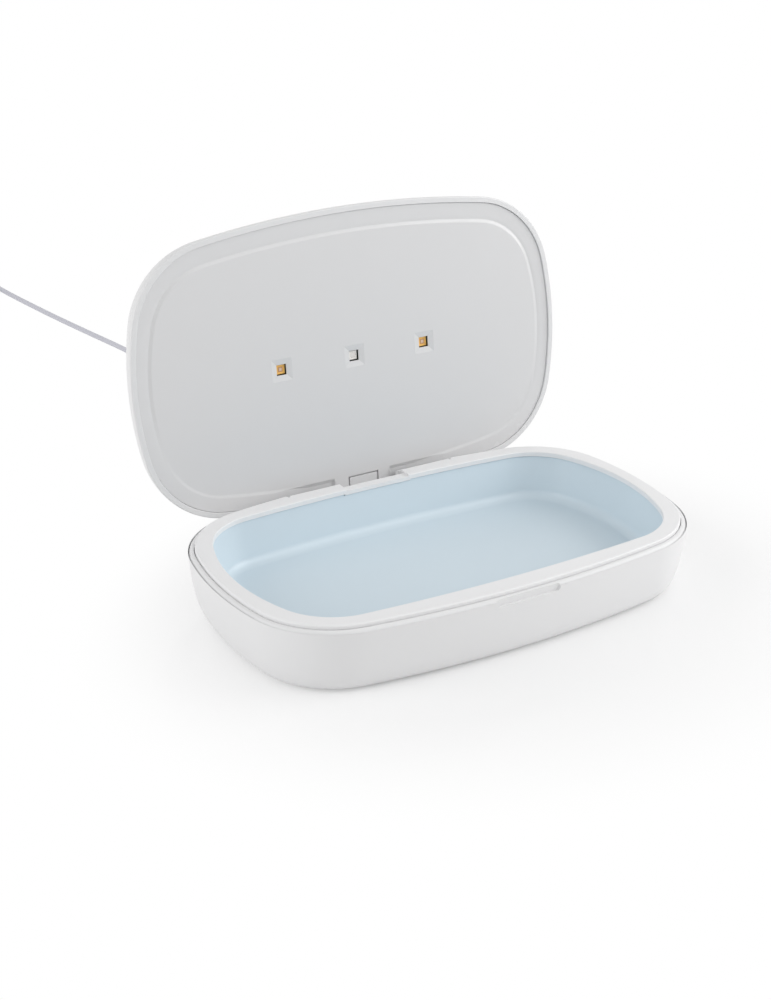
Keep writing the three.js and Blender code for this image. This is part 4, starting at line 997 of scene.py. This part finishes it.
def arm_and_knuckle(front):
    profile = [
        (front, ARM_Z),
        (LEDGE_Y - ARM_CHAMFER, ARM_Z),
        (LEDGE_Y, ARM_Z - ARM_CHAMFER),
        (LEDGE_Y, HINGE_Z),
        (ARM_REAR_Y, HINGE_Z),
        (ARM_REAR_Y, LINER_TOP),
        (front, LINER_TOP),
    ]
    knuckle_end = NOTCH_END - HINGE_GAP
    return [
        prism("tool", profile, -ARM_END, ARM_END, "X"),
        rod("tool", -knuckle_end, knuckle_end, HINGE_Y, HINGE_Z, KNUCKLE_RADIUS),
    ]


def pocket_wall(side, pocket_top):
    """Material behind a hinge pocket, inside the lid."""
    ends = sorted((side * (ARM_END - POCKET_WALL), side * (EAR_END + POCKET_WALL)))
    pile = loft("tool", [
        (lid_outline(LINER_INSET + POCKET_WALL), LINER_TOP - BAND_THICKNESS / 2),
        (lid_outline(LINER_INSET + POCKET_WALL), pocket_top + POCKET_WALL),
    ])
    front = POCKET_FRONT - POCKET_WALL
    region = block("tool", *ends, front, WIDTH / 2, BAND_Z, pocket_top + POCKET_WALL)
    return boolean(pile, [region], "INTERSECT")


def pocket(side, pocket_top):
    """The hollow over a hinge ear, with a long ramp at its outer end and sloped walls."""
    mouth = BAND_Z - PANEL_RISE - OVERRUN
    rear = WIDTH / 2 + OVERRUN
    outline = [
        (side * (ARM_END - POCKET_SIDE), mouth),
        (side * (ARM_END + POCKET_SIDE), pocket_top),
        (side * (EAR_END - POCKET_RAMP), pocket_top),
        (side * EAR_END, BAND_Z - BAND_DROP_REAR),
        (side * EAR_END, mouth),
    ]
    slope = [
        (POCKET_FRONT - POCKET_SLOPE, mouth),
        (POCKET_FRONT - POCKET_SLOPE, ARM_Z),
        (POCKET_FRONT + POCKET_SLOPE, pocket_top),
        (rear, pocket_top),
        (rear, mouth),
    ]
    ramp = prism("tool", outline, POCKET_FRONT - OVERRUN, rear, "Y")
    return boolean(ramp, [prism("tool", slope, -LENGTH / 2, LENGTH / 2, "X")], "INTERSECT")


def cover_seat():
    half = COVER_LENGTH / 2
    return block(
        "tool", COVER_X - half, COVER_X + half, HINGE_Y - COVER_SETBACK, LEDGE_Y + GAP,
        ARM_Z - ARM_CHAMFER - GAP, ARM_Z + COVER_THICKNESS + GAP,
    )


def liner():
    plate = liner_plate()
    front = WIDTH / 2 - PANEL_REAR - GAP
    cut(plate, [block("tool", -ARM_END, ARM_END, front - PANEL_SLOPE, WIDTH / 2, PANEL_Z - OVERRUN, ARM_Z)])
    pocket_top = ARM_Z + POCKET_DEPTH
    lamp_rear = LAMP_FACE + LAMP_HEIGHT
    bodies = arm_and_knuckle(front)
    bodies += [pocket_wall(side, pocket_top) for side in (-1, 1)]
    for x in LAMP_PLACES:
        bodies.append(lamp_block("tool", x, WINDOW_BOSS, PANEL_Z + BAND_THICKNESS / 2, lamp_rear))
    join(plate, bodies)
    tools = [pocket(side, pocket_top) for side in (-1, 1)]
    tools.append(cover_seat())
    well_z = WINDOW_Z + WINDOW_SLOPE + WINDOW_LIP
    for x in LAMP_PLACES:
        tools.append(window_funnel(x))
        tools.append(lamp_block("tool", x, WINDOW_THROAT, WINDOW_Z, LAMP_FACE + OVERRUN))
        tools.append(lamp_block("tool", x, WINDOW_WELL, well_z, LAMP_FACE + OVERRUN))
    cut(plate, tools)
    ease(plate, 0.2, crease=12)
    open_lid(plate)
    dress(plate, "lid", liner_painted_shade, "liner_plastic", "lid_liner")


def lamp_block(name, x, length, low, high):
    half = length / 2
    return block(name, x - half, x + half, LAMP_ROW - half, LAMP_ROW + half, low, high)


def window_funnel(x):
    slope = (WINDOW_MOUTH - WINDOW_THROAT) / 2 / WINDOW_SLOPE
    wide = WINDOW_MOUTH / 2 + slope * GAP
    narrow = WINDOW_THROAT / 2
    vertices = []
    for half, z in ((wide, WINDOW_Z - GAP), (narrow, WINDOW_Z + WINDOW_SLOPE)):
        front, rear = LAMP_ROW - half, LAMP_ROW + half
        vertices += [(x - half, front, z), (x + half, front, z), (x + half, rear, z), (x - half, rear, z)]
    faces = [(3, 2, 1, 0), (4, 5, 6, 7), (0, 1, 5, 4), (1, 2, 6, 5), (2, 3, 7, 6), (3, 0, 4, 7)]
    return new_object("tool", vertices, faces)


liner()


# Wire cover let into the arm
def wire_cover():
    half = COVER_LENGTH / 2 - COVER_GROOVE
    front = HINGE_Y - COVER_SETBACK + COVER_GROOVE
    outline = [
        (front, ARM_Z), (LEDGE_Y - ARM_CHAMFER, ARM_Z), (LEDGE_Y, ARM_Z - ARM_CHAMFER),
        (LEDGE_Y, ARM_Z + COVER_THICKNESS), (front, ARM_Z + COVER_THICKNESS),
    ]
    cover = prism("wire_cover_skin", outline, COVER_X - half, COVER_X + half, "X")
    ease(cover, 0.2, segments=3)
    open_lid(cover)
    dress(cover, "lid", liner_painted_shade, "liner_plastic", "hinge_wire_cover")


wire_cover()


# Lamps: amber packages with a small pale emitter, and a pale one with a round window
def lamp_package(name, x, length, well):
    package = lamp_block(name, x, length, LAMP_FACE, LAMP_FACE + LAMP_HEIGHT)
    cut(package, [well])
    ease(package, 0.12)
    return open_lid(package)


def amber_lamp(name, x):
    inner = LAMP_LENGTH - 2 * LAMP_RIM
    well = lamp_block("tool", x, inner, LAMP_FACE - OVERRUN, LAMP_FLOOR)
    package = lamp_package(f"{name}_package", x, LAMP_LENGTH, well)
    dress(package, "lid", gold, "amber_lamp", name)
    ring = lamp_block(f"{name}_frame", x, DIE_FRAME, LAMP_FLOOR - LAMP_STEP / 3, LAMP_FLOOR + GAP)
    ease(ring, 0.05)
    dress(open_lid(ring), "lid", gold_frame, "amber_lamp")
    chip = lamp_block(f"{name}_die", x, DIE_LENGTH, LAMP_FACE + LAMP_STEP / 4, LAMP_FLOOR)
    ease(chip, 0.06)
    dress(open_lid(chip), "lid", die, "amber_lamp")


def pale_lamp(name, x):
    hole = LENS_RADIUS + LENS_CLEARANCE
    well = disc("tool", x, LAMP_ROW, LAMP_FACE - OVERRUN, LAMP_FLOOR, hole, 40)
    package = lamp_package(f"{name}_package", x, PALE_LENGTH, well)
    dress(package, "lid", ceramic, "pale_lamp", name)
    rim = LAMP_FACE + LAMP_STEP / 2
    root = LAMP_FLOOR + GAP / 2
    profile = [(0, root), (LENS_RADIUS, root)]
    for turn in quarter_turns(8):
        profile.append((LENS_RADIUS * math.cos(turn), rim - LAMP_STEP / 2 * math.sin(turn)))
    dome = revolve(f"{name}_dome", profile, (x, LAMP_ROW, 0), steps=40)
    smooth(dome)
    dress(open_lid(dome), "lid", lens, "pale_lamp")


amber_lamp("uv_lamp_left", -LAMP_SPACING)
pale_lamp("uv_lamp_centre", 0)
amber_lamp("uv_lamp_right", LAMP_SPACING)


# Power button and its light ring
def button():
    top = CLOSED_HEIGHT + BUTTON_PROUD
    flange_top = CEILING - GAP - RING_FLANGE_THICKNESS - GAP
    flange_bottom = flange_top - BUTTON_FLANGE_THICKNESS
    flange = BUTTON_RADIUS + BUTTON_FLANGE
    stem = flange_bottom - BUTTON_STEM
    profile = [(0, stem), (BUTTON_STEM_RADIUS, stem), (BUTTON_STEM_RADIUS, flange_bottom)]
    profile += [(flange, flange_bottom), (flange, flange_top), (BUTTON_RADIUS, flange_top)]
    for inward, down in rounded_steps(BUTTON_EDGE, 6):
        profile.append((BUTTON_RADIUS - inward, top - down))
    dish_steps = 10
    dish_radius = BUTTON_RADIUS - BUTTON_EDGE - BUTTON_DISH_MARGIN
    for i in range(dish_steps + 1):
        share = i / dish_steps
        profile.append((dish_radius * (1 - share), top - BUTTON_CROWN * (1 - math.cos(math.pi * share)) / 2))
    cap = revolve("power_button_skin", profile, (0, -BUTTON_SETBACK, 0), steps=96)
    smooth(cap)
    open_lid(cap)
    dress(cap, "button", lid_painted_shade, "white_plastic", "power_button")


def light_ring():
    inner = BUTTON_RADIUS + GAP
    outer = inner + RING_WIDTH
    top = CLOSED_HEIGHT - RING_DROP
    flange_top = CEILING - GAP
    flange_bottom = flange_top - RING_FLANGE_THICKNESS
    profile = [
        (inner, flange_bottom), (outer + RING_FLANGE, flange_bottom),
        (outer + RING_FLANGE, flange_top), (outer, flange_top),
        (outer, top - RING_EDGE), (outer - RING_EDGE_BOW, top - RING_EDGE_BOW), (outer - RING_EDGE, top),
        (inner + RING_EDGE, top), (inner + RING_EDGE_BOW, top - RING_EDGE_BOW), (inner, top - RING_EDGE),
    ]
    steps = 96
    vertices = []
    for radius, height in profile:
        vertices += [(x, y, height) for x, y in circle((0, -BUTTON_SETBACK), radius, steps)]
    faces = []
    for row in range(len(profile)):
        faces += strip(row * steps, (row + 1) % len(profile) * steps, steps)
    ring = new_object("light_ring_skin", vertices, faces)
    outward(ring)
    smooth(ring)
    open_lid(ring)
    dress(ring, "lid", guide, "light_guide", "indicator_ring")


button()
light_ring()


# Feet
def foot(name, x, y):
    profile = [(0, 0)]
    profile += [(FOOT_RADIUS - inward, up) for inward, up in reversed(rounded_steps(FOOT_EDGE))]
    profile += [(FOOT_RADIUS, FOOT_THICKNESS), (0, FOOT_THICKNESS)]
    pad = revolve(f"{name}_skin", profile, (x, y, 0))
    smooth(pad)
    dress(pad, "base", rubber, "grey_rubber", name)


for place, (foot_x, foot_y) in zip(("front_left", "rear_left", "front_right", "rear_right"), FEET):
    foot(f"foot_{place}", foot_x, foot_y)


# Mouldings and metal of the lead's two plugs
TONGUE_WIDTH = 8.3
TONGUE_HEIGHT = 2.5
TONGUE_RADIUS = 1.13
RELIEF_ROOT = 2.6
RELIEF_TAPER = 0.7
RELIEF_RIBS = 5
RIB_DEPTH = 0.32
RIB_START = 0.05
RIB_END = 0.97


def middle_of(low, high):
    """Middle of a solid's box across the cord, as (x, z) in millimetres."""
    return (low.x + high.x) / 2 / MM, (low.z + high.z) / 2 / MM


def plug_moulding(node, centre, width, height, radius, rounds, tuck=1.0):
    """A moulding over the length of its solid, with a round at each end."""
    low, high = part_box(node)
    sections = []
    for inset, y in plug_stations(low.y / MM, high.y / MM, *rounds):
        corner = radius - inset * tuck
        sections.append((y, rounded_rectangle(centre, width - 2 * inset, height - 2 * inset, corner, 6)))
    grip = loft_along_y(f"{node}_skin", sections)
    dress(grip, "base", plug_white, "plug_moulding", node)


def plug_tongue():
    low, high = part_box("lead_plug_tongue")
    outline = rounded_rectangle((0, SOCKET_Z), TONGUE_WIDTH, TONGUE_HEIGHT, TONGUE_RADIUS, 8)
    tongue = prism("lead_plug_tongue_skin", outline, low.y / MM, high.y / MM, "Y")
    ease(tongue, 0.12)
    dress(tongue, "base", nickel, "plug_metal", "lead_plug_tongue")


def lead_plugs():
    socket = (0, SOCKET_Z)
    plug_moulding("lead_plug_grip", socket, width=11, height=6.4, radius=2.6, rounds=(0.9, 0.5))
    plug_tongue()
    strain_relief("lead_strain_relief")
    centre = middle_of(*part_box("supply_plug_grip"))
    plug_moulding("supply_plug_grip", centre, width=15.6, height=8.6, radius=2.6, rounds=(0.6, 1.4), tuck=0.5)
    strain_relief("supply_plug_relief")


def plug_stations(y0, y1, front, rear):
    """Insets along a moulding: a round at its front end and one at its rear."""
    made = [(inset, y0 + along) for along, inset in rounded_steps(front, 4)]
    return made + [(inset, y1 - along) for inset, along in rounded_steps(rear, 4)]


def loft_along_y(name, sections):
    count = len(sections[0][1])
    vertices = []
    for y, outline in sections:
        vertices += [(x, y, z) for x, z in outline]
    faces = [tuple(range(count)), tuple(reversed(range(len(vertices) - count, len(vertices))))]
    for row in range(len(sections) - 1):
        faces += strip(row * count, (row + 1) * count, count)
    item = new_object(name, vertices, faces)
    outward(item)
    return smooth(item, 50)


def strain_relief(node):
    """Tapered strain relief with soft ribs, root first along +Y."""
    low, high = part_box(node)
    length = (high.y - low.y) / MM
    x, z = middle_of(low, high)
    profile = [(0, 0)]
    steps = 60
    for i in range(steps + 1):
        share = i / steps
        groove = max(0.0, math.sin(2 * math.pi * RELIEF_RIBS * share - math.pi / 2)) ** 2
        depth = RIB_DEPTH * groove if RIB_START < share < RIB_END else 0
        profile.append((RELIEF_ROOT - RELIEF_TAPER * share - depth, length * share))
    profile.append((0, length))
    sleeve = revolve(f"{node}_skin", profile, (x, low.y / MM, z), axis="Y", steps=40)
    smooth(sleeve, 60)
    dress(sleeve, "base", plug_white, "plug_moulding", node)


lead_plugs()

# The solids that stay as they are get their materials: steel for the pins, the magnet and the screws
PLAIN = {
    "cable_tie": black, "supply_plug_shell": nickel, "usb_socket": nickel,
    "main_board": board_green, "button_board": board_green, "lamp_board": dark_board,
    "reed_switch": glass, "reed_wires": wire, "base_wires": wire, "lid_ribbon": wire,
    "button_wires": wire, "button_switch": black, "switch_plunger": black,
}
for node_name, item in NODES.items():
    if not item.hide_render:
        item.data.materials.clear()
        item.data.materials.append(PLAIN.get(node_name, steel))


# Stage: floor, world and lamps
WORLD_LIGHT = 0.53
FLOOR_GREY = 0.93
FLOOR_GLOSS = 0.12
FLOOR_GLOW = 1.0

# The floor's opening and drop in millimetres, its half width and its shadow in metres
FLOOR_OPENING = 12.0
FLOOR_DROP = 0.05
FLOOR_HALF = 4.0
# Painted shadow: near the box the floor mixes in less white, in a round shifted and stretched by these, over
# the floor's real shadow
SHADOW_SHARE = 0.8
SHADOW_REACH = (0.065, 0.165)
SHADOW_SHIFT = (-0.015, 0.02, 0)
SHADOW_STRETCH = (0.85, 1, 1)


def floor_mesh():
    """A square floor, open under the box so that the underside gets light."""
    inner = [Vector((x * MM, y * MM, 0)) for x, y in lid_outline(FLOOR_OPENING)]
    outer = [p * (FLOOR_HALF / max(abs(p.x), abs(p.y))) for p in inner]
    count = len(inner)
    faces = [(i, count + i, count + (i + 1) % count, (i + 1) % count) for i in range(count)]
    mesh = bpy.data.meshes.new("floor")
    mesh.from_pydata(inner + outer, [], faces)
    mesh.update()
    return mesh


def math_node(tree, operation, first, second):
    node = tree.nodes.new("ShaderNodeMath")
    node.operation = operation
    tree.links.new(first, node.inputs[0])
    tree.links.new(second, node.inputs[1])
    return node.outputs[0]


def seen_rays(tree):
    """One for what the camera sees, directly, mirrored or through glass."""
    path = tree.nodes.new("ShaderNodeLightPath")
    mask = path.outputs["Is Camera Ray"]
    for kind in ("Is Glossy Ray", "Is Transmission Ray"):
        mask = math_node(tree, "MAXIMUM", mask, path.outputs[kind])
    return mask


def glow_share(tree):
    """How white the floor is: fully away from the box, and less beside it, a painted shadow that lets the
    floor's real shadow show through.
    """
    place = tree.nodes.new("ShaderNodeTexCoord")
    stretch = tree.nodes.new("ShaderNodeMapping")
    stretch.inputs["Location"].default_value = SHADOW_SHIFT
    stretch.inputs["Scale"].default_value = SHADOW_STRETCH
    distance = tree.nodes.new("ShaderNodeVectorMath")
    distance.operation = "LENGTH"
    fade = tree.nodes.new("ShaderNodeMapRange")
    fade.interpolation_type = "SMOOTHSTEP"
    fade.inputs["From Min"].default_value, fade.inputs["From Max"].default_value = SHADOW_REACH
    fade.inputs["To Min"].default_value = 1 - SHADOW_SHARE
    fade.inputs["To Max"].default_value = 1.0
    tree.links.new(place.outputs["Object"], stretch.inputs["Vector"])
    tree.links.new(stretch.outputs["Vector"], distance.inputs[0])
    tree.links.new(distance.outputs["Value"], fade.inputs["Value"])
    return fade.outputs["Result"]


def floor_material():
    """White where it is seen away from the box or from below, and a plain pale floor for all light."""
    material, tree, shader = node_material("floor_white")
    shader.inputs["Base Color"].default_value = (FLOOR_GREY, FLOOR_GREY, FLOOR_GREY, 1)
    shader.inputs["Roughness"].default_value = FLOOR_GLOSS
    glow = tree.nodes.new("ShaderNodeEmission")
    glow.inputs["Strength"].default_value = FLOOR_GLOW
    share = math_node(tree, "MULTIPLY", seen_rays(tree), glow_share(tree))
    side = tree.nodes.new("ShaderNodeNewGeometry")
    whole = math_node(tree, "MAXIMUM", share, side.outputs["Backfacing"])
    mix = tree.nodes.new("ShaderNodeMixShader")
    tree.links.new(whole, mix.inputs["Fac"])
    tree.links.new(shader.outputs[0], mix.inputs[1])
    tree.links.new(glow.outputs[0], mix.inputs[2])
    tree.links.new(mix.outputs[0], tree.nodes["Material Output"].inputs["Surface"])
    return material


def make_floor():
    floor = bpy.data.objects.new("floor", floor_mesh())
    bpy.context.scene.collection.objects.link(floor)
    floor.location.z = -FLOOR_DROP * MM
    floor.data.materials.append(floor_material())


def area_light(name, location, target, size, power):
    data = bpy.data.lights.new(name, "AREA")
    data.shape = "RECTANGLE"
    data.size = data.size_y = size
    data.energy = power
    lamp = bpy.data.objects.new(name, data)
    bpy.context.scene.collection.objects.link(lamp)
    lamp.location = location
    lamp.rotation_mode = "QUATERNION"
    lamp.rotation_quaternion = (Vector(target) - Vector(location)).to_track_quat("-Z", "Y")


def make_world():
    """Even light from all round, which is white where it is seen."""
    world = bpy.data.worlds.new("studio")
    bpy.context.scene.world = world
    world.use_nodes = True
    tree = world.node_tree
    background = tree.nodes["Background"]
    background.inputs["Color"].default_value = (1, 1, 1, 1)
    strength = tree.nodes.new("ShaderNodeMapRange")
    strength.inputs["To Min"].default_value = WORLD_LIGHT
    strength.inputs["To Max"].default_value = 1.0
    tree.links.new(seen_rays(tree), strength.inputs["Value"])
    tree.links.new(strength.outputs["Result"], background.inputs["Strength"])


make_floor()
make_world()
area_light("key", (0.95, -0.45, 0.55), target=(0, 0, 0.04), size=0.8, power=6.5)
area_light("fill", (-1.1, 0.1, 0.5), target=(0, 0, 0.03), size=0.9, power=5.2)
area_light("front", (0.4, -1.0, 0.95), target=(0, 0, 0.04), size=0.9, power=2.6)

bpy.context.scene.view_settings.view_transform = "Standard"
